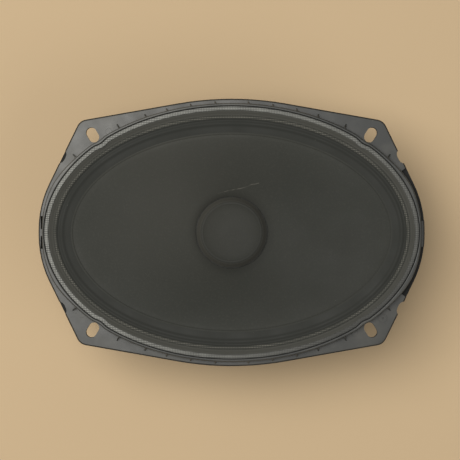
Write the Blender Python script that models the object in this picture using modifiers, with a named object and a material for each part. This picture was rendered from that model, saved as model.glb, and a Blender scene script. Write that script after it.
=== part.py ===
"""Oval full-range car loudspeaker, 6 x 9 inch class, as an assembly of separate pieces.

Metres, +Z towards the listener. The origin is the centre of the back plate's rear face, so the
speaker lies on its magnet motor. +X is the long axis of the oval and +Y the short one.
"""

import math

import bmesh
import bpy
import numpy as np
from mathutils import Matrix, Vector

MM = 0.001

# Overall outline of the basket's mounting flange
HALF_LENGTH = 118.2 * MM
HALF_WIDTH = 81.9 * MM
SIDE_ARC_RADIUS = 190 * MM
EAR_TOP_SLOPE = math.radians(10)
EAR_SIDE_SLOPE = math.radians(26)
EAR_CORNER_RADIUS = 7 * MM
END_ARC_RADIUS = 64 * MM
END_FLAT_HALF = 1.8 * MM
FLANGE_CHAMFER = 0.9 * MM

# The oval that every ring of the speaker is offset from: the outer edge of the cloth edge ring
OVAL_A = 114.1 * MM
OVAL_B = 76.8 * MM

# Heights, from the rear of the back plate to the listener's side
BACK_PLATE_TOP = 5.5 * MM
MAGNET_BOTTOM = 5.8 * MM
MAGNET_TOP = 21.8 * MM
TOP_PLATE_BOTTOM = 22.1 * MM
TOP_PLATE_TOP = 27.1 * MM
POLE_TOP = 27.5 * MM
SEAT_BOTTOM = 27.4 * MM
SEAT_TOP = 30.9 * MM
SPIDER_LEDGE_TOP = 40.0 * MM
FLANGE_REAR = 70.0 * MM
FLANGE_FRONT = 73.6 * MM
RIM_REAR = 69.0 * MM
EDGE_LEDGE_TOP = 75.3 * MM
RIM_TOP = 78.0 * MM
GAP = 0.3 * MM

# Motor radii
BACK_PLATE_RADIUS = 42 * MM
MAGNET_RADIUS = 45 * MM
MAGNET_BORE = 22 * MM
TOP_PLATE_RADIUS = 43 * MM
TOP_PLATE_BORE = 17.0 * MM
POLE_RADIUS = 15.2 * MM
SCREW_CIRCLE = 33 * MM
SCREW_SHANK = 2.0 * MM
SCREW_HEAD = 3.8 * MM

# Voice coil
FORMER_INNER = 15.6 * MM
FORMER_OUTER = 15.9 * MM
FORMER_BOTTOM = 18.6 * MM
FORMER_TOP = 50.0 * MM
WINDING_BOTTOM = 19.1 * MM
WINDING_TOP = 30.1 * MM
WINDING_OUTER = 16.6 * MM
COLLAR_BOTTOM = 31.0 * MM
COLLAR_TOP = 43.4 * MM
COLLAR_OUTER = 16.5 * MM
LEAD_ANGLE = math.radians(14)
COLLAR_SLOT_ANGLE = math.radians(24)

# Spider
SPIDER_NECK_RADIUS = 17.5 * MM
SPIDER_ROLL_START = 19.0 * MM
SPIDER_ROLL_END = 46.0 * MM
SPIDER_RADIUS = 56.0 * MM
SPIDER_PLANE = SPIDER_LEDGE_TOP + GAP
SPIDER_THICKNESS = 0.5 * MM
SPIDER_ROLLS = 3
SPIDER_ROLL_HEIGHT = 1.5 * MM

# Cone and dust cap
CONE_NECK_RADIUS = 16.7 * MM
CONE_NECK_HEIGHT = 47.0 * MM
CONE_ROUND_RADIUS = 22.6 * MM
CONE_ROUND_HEIGHT = 50.2 * MM
CONE_EDGE_HEIGHT = 72.9 * MM
CONE_LIP_HEIGHT = 73.2 * MM
CONE_EDGE_OFFSET = -16.8 * MM
CONE_LIP_OFFSET = -12.3 * MM
CONE_THICKNESS = 0.8 * MM
CONE_FLARE = 1.3
CAP_FOOT_RADIUS = 22.2 * MM
CAP_LIP_RADIUS = 18.4 * MM
CAP_FOOT_HEIGHT = CONE_ROUND_HEIGHT + 0.55 * MM
CAP_LIP_HEIGHT = 56.0 * MM
CAP_DISH_HEIGHT = 52.6 * MM
CAP_THICKNESS = 0.8 * MM

# Surround: offsets from the oval and heights of its crests and valleys
SURROUND_FLANGE_HEIGHT = EDGE_LEDGE_TOP + GAP
SURROUND_THICKNESS = 0.5 * MM
SURROUND_INNER_HEIGHT = CONE_LIP_HEIGHT + GAP
SURROUND_WAVE = (
    (-2.4 * MM, SURROUND_FLANGE_HEIGHT),
    (-4.7 * MM, 74.3 * MM),
    (-6.2 * MM, 75.7 * MM),
    (-8.3 * MM, 73.9 * MM),
    (-10.0 * MM, 74.9 * MM),
    (-11.8 * MM, SURROUND_INNER_HEIGHT),
)
SURROUND_FOOT_OFFSET = -16.4 * MM

# Edge ring
EDGE_RING_BOTTOM = SURROUND_FLANGE_HEIGHT + SURROUND_THICKNESS + GAP
EDGE_RING_TOP = EDGE_RING_BOTTOM + 0.8 * MM
EDGE_RING_WIDTH = 2.2 * MM
SCREW_DIP_DEPTH = 0.85 * MM
SCREW_DIP_HALF_ANGLE = math.radians(3.4)

# Rim wall, and the locating ring under it
RIM_INNER_OFFSET = 0.5 * MM
RIM_EDGE_CHAMFER = 0.5 * MM
RIM_DRAFT = 0.1 * MM
RIM_FOOT_FLARE = 0.6 * MM
RIM_FOOT = FLANGE_REAR + 2.2 * MM
LOCATING_RING_TOP = FLANGE_REAR + 1.6 * MM
PANEL_OPENING_OFFSET = -1.2 * MM

# Gussets between the rim wall and the flange, in each quarter: parameter in degrees and length
GUSSETS = (
    (35.0, 3.6 * MM),
    (53.5, 3.6 * MM),
    (63.0, 2.8 * MM),
    (70.0, 2.5 * MM),
    (77.5, 2.3 * MM),
    (85.0, 2.2 * MM),
)
GUSSET_THICKNESS = 0.7 * MM
GUSSET_BOTTOM = 73.0 * MM
GUSSET_TOE = 73.9 * MM
GUSSET_TOP = 77.2 * MM

# Ears
SLOT_X = 85.1 * MM
SLOT_Y = 59.7 * MM
SLOT_RADIUS = 3.25 * MM
SLOT_LENGTH = 9.8 * MM
SLOT_LEAN = math.radians(31)
EAR_T = math.radians(45.5)
NOTCH_X = 105.07 * MM
NOTCH_Y = 46.9 * MM
NOTCH_RADIUS = 3.55 * MM
NOTCH_LENGTH = 9.4 * MM
SHALLOW_NOTCH_FLOOR = FLANGE_FRONT - 2.2 * MM
CUT_BELOW = FLANGE_REAR - 3 * MM
CUT_ABOVE = RIM_TOP + 3 * MM

# Slits beside the -X tab, and the recess either side of the +X tab in degrees
SLIT_OUTER = -116.8 * MM
SLIT_INNER = -115.6 * MM
SLIT_START = 2.1 * MM
SLIT_END = 10.0 * MM
SLIT_FLOOR = FLANGE_FRONT - 2.6 * MM
RECESS_SPANS = ((5.0, 27.5), (-27.5, -6.2))
RECESS_CLEARANCE = 0.75 * MM
RECESS_REACH = 12 * MM
RECESS_FLOOR = FLANGE_FRONT - 2.0 * MM

# Basket shell, spokes and cup
SHELL_THICKNESS = 2.6 * MM
SHELL_TOP_OFFSET = -1.6 * MM
SHELL_TOP = 72.0 * MM
SHELL_ROUND_RADIUS = 56.6 * MM
SHELL_BOTTOM = 38.6 * MM
SHELL_BULGE = 1.35
LEDGE_INNER_OFFSET = -2.5 * MM
CUP_RADIUS = 45.5 * MM
CUP_SHOULDER = SEAT_TOP - 1.4 * MM
CUP_FLOOR_RADIUS = 42.6 * MM
CUP_SLOPE_TOP = 38.0 * MM
SPIDER_LEDGE_INNER = 47.2 * MM
SPIDER_LEDGE_OUTER = 58.6 * MM
SPIDER_LEDGE_BOTTOM = 37.2 * MM
SPIDER_LEDGE_FOOT = 50.0 * MM
SKIRT_INNER = TOP_PLATE_RADIUS + 0.4 * MM
SKIRT_BOTTOM = SEAT_BOTTOM - 3.2 * MM
SEAT_BORE = 19.0 * MM
VENT_COUNT = 8
VENT_RADIUS = 47 * MM
VENT_HEIGHT = 34.1 * MM
VENT_SIZE = (14 * MM, 17 * MM, 4.6 * MM)
RIB_THICKNESS = 2.4 * MM
RIB_END_DEPTH = 2.0 * MM
RIB_DEPTH = 6.5 * MM
RIB_FOOT_RADIUS = CUP_RADIUS - 0.9 * MM
RIB_FOOT_HEIGHT = SEAT_TOP - 1.6 * MM
RIB_SHOULDER_RADIUS = 48.6 * MM

# Connector, under the wide spoke at the +X end
SOCKET_BACK = 74.0 * MM
SOCKET_MOUTH = 92.0 * MM
SOCKET_HALF_WIDTH = 12.0 * MM
SOCKET_BOTTOM = 33.0 * MM
SOCKET_TOP = 43.2 * MM
SOCKET_WALL = 1.6 * MM
SOCKET_BACK_WALL = 3.0 * MM
BLADE_Y = 5.5 * MM
BLADE_WIDTH = 2.8 * MM
BLADE_THICKNESS = 0.8 * MM
BLADE_TIP = 88.0 * MM
TAG_X = 66.0 * MM
TAG_TOP = 47.5 * MM
CATCH_START = 83.0 * MM
CATCH_END = 87.0 * MM
CATCH_HALF_WIDTH = 3.0 * MM
TAG_SLOT_LOW = (63.6 * MM, -9 * MM, 36 * MM)
TAG_SLOT_HIGH = (68.6 * MM, 9 * MM, 46 * MM)
CHEEK_THICKNESS = 2.2 * MM
CHEEK_OUTLINE = (
    (60.5 * MM, 41.5 * MM),
    (60.5 * MM, 37.5 * MM),
    (72.0 * MM, 31.4 * MM),
    (90.0 * MM, 31.4 * MM),
    (90.0 * MM, 54.5 * MM),
    (80.0 * MM, 49.5 * MM),
    (70.0 * MM, 44.0 * MM),
)
SILL_START = 76.0 * MM
SILL_END = 88.0 * MM
SILL_BOTTOM = 30.9 * MM

# Tinsel leads: (x, z) along each lead, and the distance from the middle plane at its two ends
LEAD_RADIUS = 0.7 * MM
LEAD_ROUTE = (
    (19.4 * MM, 45.3 * MM),
    (24.0 * MM, 45.1 * MM),
    (31.0 * MM, 45.4 * MM),
    (39.0 * MM, 46.6 * MM),
    (47.0 * MM, 48.4 * MM),
    (54.5 * MM, 49.4 * MM),
    (60.5 * MM, 48.4 * MM),
    (65.4 * MM, 46.4 * MM),
)
LEAD_START_Y = 4.6 * MM
LEAD_END_Y = 5.5 * MM

# Facets round the turned and swept pieces
PANEL_OPENING_STEPS = 72
SCREW_STEPS = 16
OVAL_STEPS = 60
CUP_STEPS = 44
ROUND_STEPS = 40
COIL_STEPS = 32

parts = bpy.data.collections.new("oval_car_speaker")
cutters = bpy.data.collections.new("cutters")


def clear_scene():
    for old in list(bpy.data.objects):
        bpy.data.objects.remove(old, do_unlink=True)
    bpy.context.scene.collection.children.link(parts)
    bpy.context.scene.collection.children.link(cutters)


def make_material(name, colour, roughness, metallic=0.0):
    material = bpy.data.materials.new(name)
    material.use_nodes = True
    shader = material.node_tree.nodes["Principled BSDF"]
    shader.inputs["Base Color"].default_value = (*colour, 1.0)
    shader.inputs["Roughness"].default_value = roughness
    shader.inputs["Metallic"].default_value = metallic
    material.diffuse_color = (*colour, 1.0)
    return material


def finish_object(name, bm, material):
    """A named part from a bmesh, with its faces turned outwards and round stretches shaded smooth."""
    bmesh.ops.recalc_face_normals(bm, faces=bm.faces)
    mesh = bpy.data.meshes.new(name)
    bm.to_mesh(mesh)
    bm.free()
    mesh.materials.append(material)
    mesh.shade_smooth()
    mesh.set_sharp_from_angle(angle=math.radians(35))
    made = bpy.data.objects.new(name, mesh)
    parts.objects.link(made)
    return made


def as_cutter(made):
    parts.objects.unlink(made)
    cutters.objects.link(made)
    made.hide_render = True
    made.display_type = "WIRE"
    return made


def combine(target, tool, operation):
    step = target.modifiers.new(tool.name, "BOOLEAN")
    step.operation = operation
    step.solver = "EXACT"
    step.object = tool


def add_solidify(made, thickness, side):
    """Side -1 thickens against the surface's normals, 1 along them and 0 both ways."""
    wall = made.modifiers.new("wall", "SOLIDIFY")
    wall.thickness = thickness
    wall.offset = side
    wall.use_even_offset = True


def oval_point(t, offset):
    """The point at parameter t on the curve that runs parallel to the oval, offset outwards."""
    normal = Vector((OVAL_B * math.cos(t), OVAL_A * math.sin(t))).normalized()
    return Vector((OVAL_A * math.cos(t), OVAL_B * math.sin(t))) + offset * normal


def oval_loop(stations, offset, height):
    """A level loop parallel to the oval. The offset is a length or a function of the parameter."""
    points = []
    for t in stations:
        shift = offset(t) if callable(offset) else offset
        x, y = oval_point(t, shift)
        points.append((x, y, height))
    return points


def round_loop(stations, radius, height):
    return [(radius * math.cos(t), radius * math.sin(t), height) for t in stations]


def mixed_loop(stations, radius, offset, share, height):
    """A level loop between a circle, at share 0, and a parallel of the oval, at share 1."""
    points = []
    for t in stations:
        inner = Vector((radius * math.cos(t), radius * math.sin(t)))
        x, y = inner.lerp(oval_point(t, offset), share)
        points.append((x, y, height))
    return points


def even_stations(count):
    return [2 * math.pi * i / count for i in range(count)]


def loft(bm, loops, closed=False, keep=None):
    """Quads between neighbouring loops, and from the last to the first where the section closes."""
    rings = [[bm.verts.new(point) for point in loop] for loop in loops]
    pairs = list(zip(rings, rings[1:]))
    if closed:
        pairs.append((rings[-1], rings[0]))
    for row, (low, high) in enumerate(pairs):
        for column in range(len(low)):
            if keep and not keep(row, column):
                continue
            after = (column + 1) % len(low)
            bm.faces.new((low[column], low[after], high[after], high[column]))
    loose = [vert for vert in bm.verts if not vert.link_faces]
    bmesh.ops.delete(bm, geom=loose, context="VERTS")


def prism(bm, outline, bottom, top):
    """A flat outline of (x, y) points raised from bottom to top. Returns its upper face."""
    base = bm.faces.new([bm.verts.new((x, y, bottom)) for x, y in outline])
    raised = bmesh.ops.extrude_face_region(bm, geom=[base])["geom"]
    lifted = [item for item in raised if isinstance(item, bmesh.types.BMVert)]
    bmesh.ops.translate(bm, verts=lifted, vec=(0, 0, top - bottom))
    return [item for item in raised if isinstance(item, bmesh.types.BMFace)][0]


def box(bm, low, high):
    size = Vector(high) - Vector(low)
    centre = (Vector(high) + Vector(low)) / 2
    bmesh.ops.create_cube(bm, size=1, matrix=Matrix.Translation(centre) @ Matrix.Diagonal((*size, 1)))


def turned(name, profile, material, steps):
    """A piece turned about Z. The profile at +X runs top to bottom on its outer side."""
    bm = bmesh.new()
    verts = [bm.verts.new((radius, 0, height)) for radius, height in profile]
    for i, vert in enumerate(verts):
        bm.edges.new((vert, verts[(i + 1) % len(verts)]))
    mesh = bpy.data.meshes.new(name)
    bm.to_mesh(mesh)
    bm.free()
    mesh.materials.append(material)
    made = bpy.data.objects.new(name, mesh)
    parts.objects.link(made)
    spin = made.modifiers.new("turn", "SCREW")
    spin.angle = 2 * math.pi
    spin.steps = steps
    spin.render_steps = steps
    spin.use_merge_vertices = True
    spin.merge_threshold = 1e-6
    spin.use_smooth_shade = False
    return made


def arc(centre, radius, start, end, count):
    angles = np.linspace(start, end, count).tolist()
    return [(centre[0] + radius * math.cos(a), centre[1] + radius * math.sin(a)) for a in angles]


def flange_quadrant():
    """One quarter of the flange's outline, from the middle of the long side to the middle of the end."""
    side_centre = (0, HALF_WIDTH - SIDE_ARC_RADIUS)
    side = arc(side_centre, SIDE_ARC_RADIUS, math.pi / 2, math.pi / 2 - EAR_TOP_SLOPE, 6)
    end_centre = (HALF_LENGTH - END_ARC_RADIUS, END_FLAT_HALF)
    end = arc(end_centre, END_ARC_RADIUS, EAR_SIDE_SLOPE, 0, 7)
    along_top = Vector((math.cos(EAR_TOP_SLOPE), -math.sin(EAR_TOP_SLOPE)))
    along_side = Vector((math.sin(EAR_SIDE_SLOPE), -math.cos(EAR_SIDE_SLOPE)))
    between = Vector(end[0]) - Vector(side[-1])
    reach = np.linalg.solve(np.array([along_top, along_side]).T, np.array(between))
    corner = Vector(side[-1]) + float(reach[0]) * along_top
    turn = math.pi / 2 - EAR_SIDE_SLOPE - EAR_TOP_SLOPE
    start = corner - EAR_CORNER_RADIUS * math.tan(turn / 2) * along_top
    centre = start + EAR_CORNER_RADIUS * Vector((along_top.y, -along_top.x))
    ear = arc(centre, EAR_CORNER_RADIUS, math.pi / 2 - EAR_TOP_SLOPE, EAR_SIDE_SLOPE, 7)
    return side + ear + end


def flange_outline():
    quarter = flange_quadrant()
    right_side = quarter + [(x, -y) for x, y in reversed(quarter)]
    left_side = [(-x, y) for x, y in reversed(right_side)]
    return right_side[:-1] + left_side[:-1]


def slot_outline(centre, lean, radius, length):
    """A slot with round ends, its long axis leaning from +Y towards +X."""
    reach = length / 2 - radius
    axis = Vector((math.sin(lean), math.cos(lean)))
    far = arc(Vector(centre) + reach * axis, radius, -lean, math.pi - lean, 9)
    near = arc(Vector(centre) - reach * axis, radius, math.pi - lean, 2 * math.pi - lean, 9)
    return far + near


def rim_stations():
    """Parameters round the rim, closer together at the four screw dips."""
    before = np.linspace(0, EAR_T - SCREW_DIP_HALF_ANGLE, 9)
    dip = np.linspace(EAR_T - SCREW_DIP_HALF_ANGLE, EAR_T + SCREW_DIP_HALF_ANGLE, 7)
    after = np.linspace(EAR_T + SCREW_DIP_HALF_ANGLE, math.pi / 2, 9)
    quarter = np.concatenate([before, dip[1:], after[1:]])
    half = np.concatenate([quarter, math.pi - quarter[-2::-1]])
    return list(half) + list(math.pi + half[1:-1])


def folded(t):
    """The parameter brought into the first quarter, because the rim repeats in each."""
    return abs(math.atan2(math.sin(t), abs(math.cos(t))))


def screw_dip(t):
    """How far the rim and the edge ring draw in beside a screw slot."""
    share = min(1.0, abs(folded(t) - EAR_T) / SCREW_DIP_HALF_ANGLE)
    return SCREW_DIP_DEPTH * (0.5 + 0.5 * math.cos(math.pi * share))


def bump(t, centre, spread):
    return math.exp(-(((math.degrees(folded(t)) - centre) / spread) ** 2))


def rim_width(t):
    """The rim wall's outer offset: widest near the ends, narrowest beside the screws and at the tabs."""
    return (1.9 + 1.0 * bump(t, 22, 10) - 0.6 * bump(t, 0, 7)) * MM - 0.7 * screw_dip(t)


def build_rim(plastic):
    """The raised rim, the ledge for the surround inside it and the locating ring behind the flange."""
    stations = rim_stations()
    loops = [
        oval_loop(stations, LEDGE_INNER_OFFSET, RIM_REAR),
        oval_loop(stations, RIM_FOOT_FLARE, RIM_REAR),
        oval_loop(stations, RIM_FOOT_FLARE, LOCATING_RING_TOP),
        oval_loop(stations, lambda t: rim_width(t) + RIM_FOOT_FLARE, RIM_FOOT),
        oval_loop(stations, lambda t: rim_width(t) + RIM_DRAFT, RIM_TOP - RIM_EDGE_CHAMFER),
        oval_loop(stations, lambda t: rim_width(t) + RIM_DRAFT - RIM_EDGE_CHAMFER, RIM_TOP),
        oval_loop(stations, lambda t: RIM_INNER_OFFSET - screw_dip(t), RIM_TOP),
        oval_loop(stations, lambda t: RIM_INNER_OFFSET - screw_dip(t), EDGE_LEDGE_TOP),
        oval_loop(stations, LEDGE_INNER_OFFSET, EDGE_LEDGE_TOP),
    ]
    bm = bmesh.new()
    loft(bm, loops, closed=True)
    return as_cutter(finish_object("rim", bm, plastic))


# Spokes as (centre, half width) in degrees of the oval's parameter. The first carries the connector.
EAR_SPOKE = (math.degrees(EAR_T), 4.5)
SPOKES = (
    (0, 16.0),
    EAR_SPOKE,
    (90, 4.0),
    (180 - EAR_SPOKE[0], EAR_SPOKE[1]),
    (180, 6.0),
    (180 + EAR_SPOKE[0], EAR_SPOKE[1]),
    (270, 4.0),
    (360 - EAR_SPOKE[0], EAR_SPOKE[1]),
)


def shell_columns():
    """Parameters round the shell, and for each following gap whether it lies in a window."""
    columns, window = [], []
    for i, (centre, half) in enumerate(SPOKES):
        following, following_half = SPOKES[(i + 1) % len(SPOKES)]
        if following < centre:
            following += 360
        on_spoke = np.linspace(centre - half, centre + half, 3 if half < 10 else 5)[:-1]
        in_window = np.linspace(centre + half, following - following_half, 7)[:-1]
        columns += list(np.radians(on_spoke)) + list(np.radians(in_window))
        window += [False] * len(on_spoke) + [True] * len(in_window)
    return columns, window


def shell_height(share):
    return SHELL_BOTTOM + (SHELL_TOP - SHELL_BOTTOM) * share**SHELL_BULGE


def build_shell(plastic):
    """The open bowl from the round spider ledge to the oval rim, with a window between each two spokes."""
    columns, window = shell_columns()
    shares = (0.0, 0.1, 0.3, 0.52, 0.74, 0.9, 1.0)
    loops = []
    for share in shares:
        height = shell_height(share)
        loops.append(mixed_loop(columns, SHELL_ROUND_RADIUS, SHELL_TOP_OFFSET, share, height))
    last_open_row = len(shares) - 3

    def keep(row, column):
        return not (window[column] and 1 <= row <= last_open_row)

    bm = bmesh.new()
    loft(bm, loops, keep=keep)
    made = finish_object("shell", bm, plastic)
    add_solidify(made, SHELL_THICKNESS, 0)
    return as_cutter(made)


def build_cup(plastic):
    """The spider ledge, the vented cup below it and the seat that the top plate is screwed to."""
    profile = [
        (SPIDER_LEDGE_OUTER, SPIDER_LEDGE_TOP),
        (SPIDER_LEDGE_OUTER, SPIDER_LEDGE_BOTTOM),
        (SPIDER_LEDGE_FOOT, SPIDER_LEDGE_BOTTOM),
        (CUP_RADIUS, CUP_SHOULDER),
        (CUP_RADIUS, SKIRT_BOTTOM),
        (SKIRT_INNER, SKIRT_BOTTOM),
        (SKIRT_INNER, SEAT_BOTTOM),
        (SEAT_BORE, SEAT_BOTTOM),
        (SEAT_BORE, SEAT_TOP),
        (CUP_FLOOR_RADIUS, SEAT_TOP),
        (SPIDER_LEDGE_INNER, CUP_SLOPE_TOP),
        (SPIDER_LEDGE_INNER, SPIDER_LEDGE_TOP),
    ]
    return as_cutter(turned("cup", profile, plastic, CUP_STEPS))


def build_spoke_ribs(plastic):
    """A stiffening rib behind each plain spoke, from the rim to the foot of the cup."""
    bm = bmesh.new()
    for centre, _ in SPOKES[1:]:
        t = math.radians(centre)
        inner = Vector((math.cos(t), math.sin(t))) * SHELL_ROUND_RADIUS
        outer = oval_point(t, SHELL_TOP_OFFSET)
        along = (outer - inner).normalized()
        length = (outer - inner).length
        spine = []
        foot = []
        for share in np.linspace(0.0, 0.97, 7):
            spine.append((share * length, shell_height(share)))
            depth = RIB_END_DEPTH + RIB_DEPTH * math.sin(math.pi * min(1.0, share + 0.18)) ** 0.8
            foot.append((share * length, shell_height(share) - depth))
        start = (RIB_FOOT_RADIUS - SHELL_ROUND_RADIUS, RIB_FOOT_HEIGHT)
        top_start = (RIB_SHOULDER_RADIUS - SHELL_ROUND_RADIUS, SHELL_BOTTOM)
        outline = [start] + foot + spine[::-1] + [top_start]
        face = bm.faces.new([bm.verts.new((x, 0, z)) for x, z in outline])
        grown = bmesh.ops.extrude_face_region(bm, geom=[face])["geom"]
        moved = [item for item in grown if isinstance(item, bmesh.types.BMVert)]
        bmesh.ops.translate(bm, verts=moved, vec=(0, RIB_THICKNESS, 0))
        turn = Matrix.Rotation(math.atan2(along.y, along.x), 4, "Z")
        place = Matrix.Translation((inner.x, inner.y, 0)) @ turn
        place = place @ Matrix.Translation((0, -RIB_THICKNESS / 2, 0))
        bmesh.ops.transform(bm, matrix=place, verts=list({v for v in face.verts} | set(moved)))
    return as_cutter(finish_object("spoke_ribs", bm, plastic))


def build_gussets(plastic):
    """Small ribs that brace the rim wall from outside, the same in each quarter."""
    bm = bmesh.new()
    for degrees, length in GUSSETS:
        for mirror_x in (1, -1):
            for mirror_y in (1, -1):
                t = math.radians(degrees)
                foot = rim_width(t) - GAP
                reach = foot + length
                outline = (
                    (foot, GUSSET_BOTTOM),
                    (reach, GUSSET_BOTTOM),
                    (reach - 0.2 * MM, GUSSET_TOE),
                    (foot + GUSSET_THICKNESS, GUSSET_TOP),
                    (foot, GUSSET_TOP),
                )
                base = oval_point(t, 0)
                normal = (oval_point(t, 1 * MM) - base).normalized()
                across = Vector((-normal.y, normal.x)) * GUSSET_THICKNESS / 2
                ends = []
                for side in (-1, 1):
                    ring = []
                    for offset, height in outline:
                        x, y = base + offset * normal + side * across
                        ring.append(bm.verts.new((mirror_x * x, mirror_y * y, height)))
                    ends.append(ring)
                bm.faces.new(ends[0])
                bm.faces.new(ends[1])
                for i in range(len(outline)):
                    j = (i + 1) % len(outline)
                    bm.faces.new((ends[0][i], ends[0][j], ends[1][j], ends[1][i]))
    return as_cutter(finish_object("gussets", bm, plastic))


def build_flange_plate(plastic):
    bm = bmesh.new()
    top = prism(bm, flange_outline(), FLANGE_REAR, FLANGE_FRONT)
    bmesh.ops.bevel(
        bm,
        geom=list(top.edges),
        offset=FLANGE_CHAMFER,
        segments=1,
        profile=0.5,
        affect="EDGES",
        material=-1,
    )
    plate = finish_object("basket", bm, plastic)
    bm = bmesh.new()
    hole = [oval_point(t, PANEL_OPENING_OFFSET) for t in even_stations(PANEL_OPENING_STEPS)]
    prism(bm, hole, FLANGE_REAR - 5 * MM, FLANGE_FRONT + 5 * MM)
    combine(plate, as_cutter(finish_object("panel_side_opening", bm, plastic)), "DIFFERENCE")
    return plate


def build_slot_cutter(plastic):
    """The four screw slots, each leaning outwards along the oval's normal."""
    bm = bmesh.new()
    for side_x in (1, -1):
        for side_y in (1, -1):
            centre = (side_x * SLOT_X, side_y * SLOT_Y)
            outline = slot_outline(centre, SLOT_LEAN * side_x * side_y, SLOT_RADIUS, SLOT_LENGTH)
            prism(bm, outline, CUT_BELOW, CUT_ABOVE)
    return as_cutter(finish_object("screw_slots", bm, plastic))


def build_notch_cutter(plastic):
    """A notch in the side of each ear: right through at the +X ears, and shallow at the -X ears."""
    bm = bmesh.new()
    for side_x in (1, -1):
        for side_y in (1, -1):
            floor = CUT_BELOW if side_x > 0 else SHALLOW_NOTCH_FLOOR
            centre = (side_x * NOTCH_X, side_y * NOTCH_Y)
            outline = slot_outline(centre, -EAR_SIDE_SLOPE * side_x * side_y, NOTCH_RADIUS, NOTCH_LENGTH)
            prism(bm, outline, floor, CUT_ABOVE)
    return as_cutter(finish_object("ear_notches", bm, plastic))


def build_end_cutters(plastic):
    """The blind slits beside the -X tab, and the recess either side of the +X tab."""
    bm = bmesh.new()
    for low, high in ((SLIT_START, SLIT_END), (-SLIT_END, -SLIT_START)):
        box(bm, (SLIT_OUTER, low, SLIT_FLOOR), (SLIT_INNER, high, CUT_ABOVE))
    slits = as_cutter(finish_object("tab_slits", bm, plastic))
    bm = bmesh.new()
    for start, end in RECESS_SPANS:
        stations = np.radians(np.linspace(start, end, 9))
        inner = [oval_point(t, rim_width(t) + RECESS_CLEARANCE) for t in stations]
        outer = [oval_point(t, RECESS_REACH) for t in stations]
        prism(bm, inner + outer[::-1], RECESS_FLOOR, FLANGE_FRONT + FLANGE_CHAMFER)
    return slits, as_cutter(finish_object("end_recess", bm, plastic))


def build_connector_bracket(plastic):
    """Two plates under the wide spoke, joined by a sill, that hold the connector between them."""
    bm = bmesh.new()
    inner = SOCKET_HALF_WIDTH + GAP
    for side in (-1, 1):
        ring = [bm.verts.new((x, side * inner, z)) for x, z in CHEEK_OUTLINE]
        face = bm.faces.new(ring)
        grown = bmesh.ops.extrude_face_region(bm, geom=[face])["geom"]
        moved = [item for item in grown if isinstance(item, bmesh.types.BMVert)]
        bmesh.ops.translate(bm, verts=moved, vec=(0, side * CHEEK_THICKNESS, 0))
    cheeks = as_cutter(finish_object("connector_cheeks", bm, plastic))
    bm = bmesh.new()
    half = inner + CHEEK_THICKNESS / 2
    box(bm, (SILL_START, -half, SILL_BOTTOM), (SILL_END, half, SOCKET_BOTTOM - GAP))
    return cheeks, as_cutter(finish_object("connector_sill", bm, plastic))


def build_shell_cuts(plastic):
    """Air vents in the cup between the spokes, the four screw holes and the slot for the solder tags."""
    bm = bmesh.new()
    for i in range(VENT_COUNT):
        angle = Matrix.Rotation(2 * math.pi * (i + 0.5) / VENT_COUNT, 4, "Z")
        size = Matrix.Diagonal((*VENT_SIZE, 1))
        place = Matrix.Translation((VENT_RADIUS, 0, VENT_HEIGHT))
        bmesh.ops.create_cube(bm, size=1, matrix=angle @ place @ size)
    for angle in screw_angles():
        place = Matrix.Rotation(angle, 4, "Z") @ Matrix.Translation((SCREW_CIRCLE, 0, SEAT_BOTTOM))
        bmesh.ops.create_cone(
            bm,
            cap_ends=True,
            segments=16,
            radius1=SCREW_SHANK + GAP,
            radius2=SCREW_SHANK + GAP,
            depth=12 * MM,
            matrix=place,
        )
    box(bm, TAG_SLOT_LOW, TAG_SLOT_HIGH)
    return as_cutter(finish_object("shell_cuts", bm, plastic))


def screw_angles():
    return [math.radians(45 + 90 * i) for i in range(4)]


def build_basket(plastic):
    basket = build_flange_plate(plastic)
    combine(basket, build_rim(plastic), "UNION")
    combine(basket, build_shell(plastic), "UNION")
    combine(basket, build_cup(plastic), "UNION")
    combine(basket, build_spoke_ribs(plastic), "UNION")
    combine(basket, build_gussets(plastic), "UNION")
    for bracket in build_connector_bracket(plastic):
        combine(basket, bracket, "UNION")
    combine(basket, build_slot_cutter(plastic), "DIFFERENCE")
    combine(basket, build_notch_cutter(plastic), "DIFFERENCE")
    for cutter in build_end_cutters(plastic):
        combine(basket, cutter, "DIFFERENCE")
    combine(basket, build_shell_cuts(plastic), "DIFFERENCE")
    return basket


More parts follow.
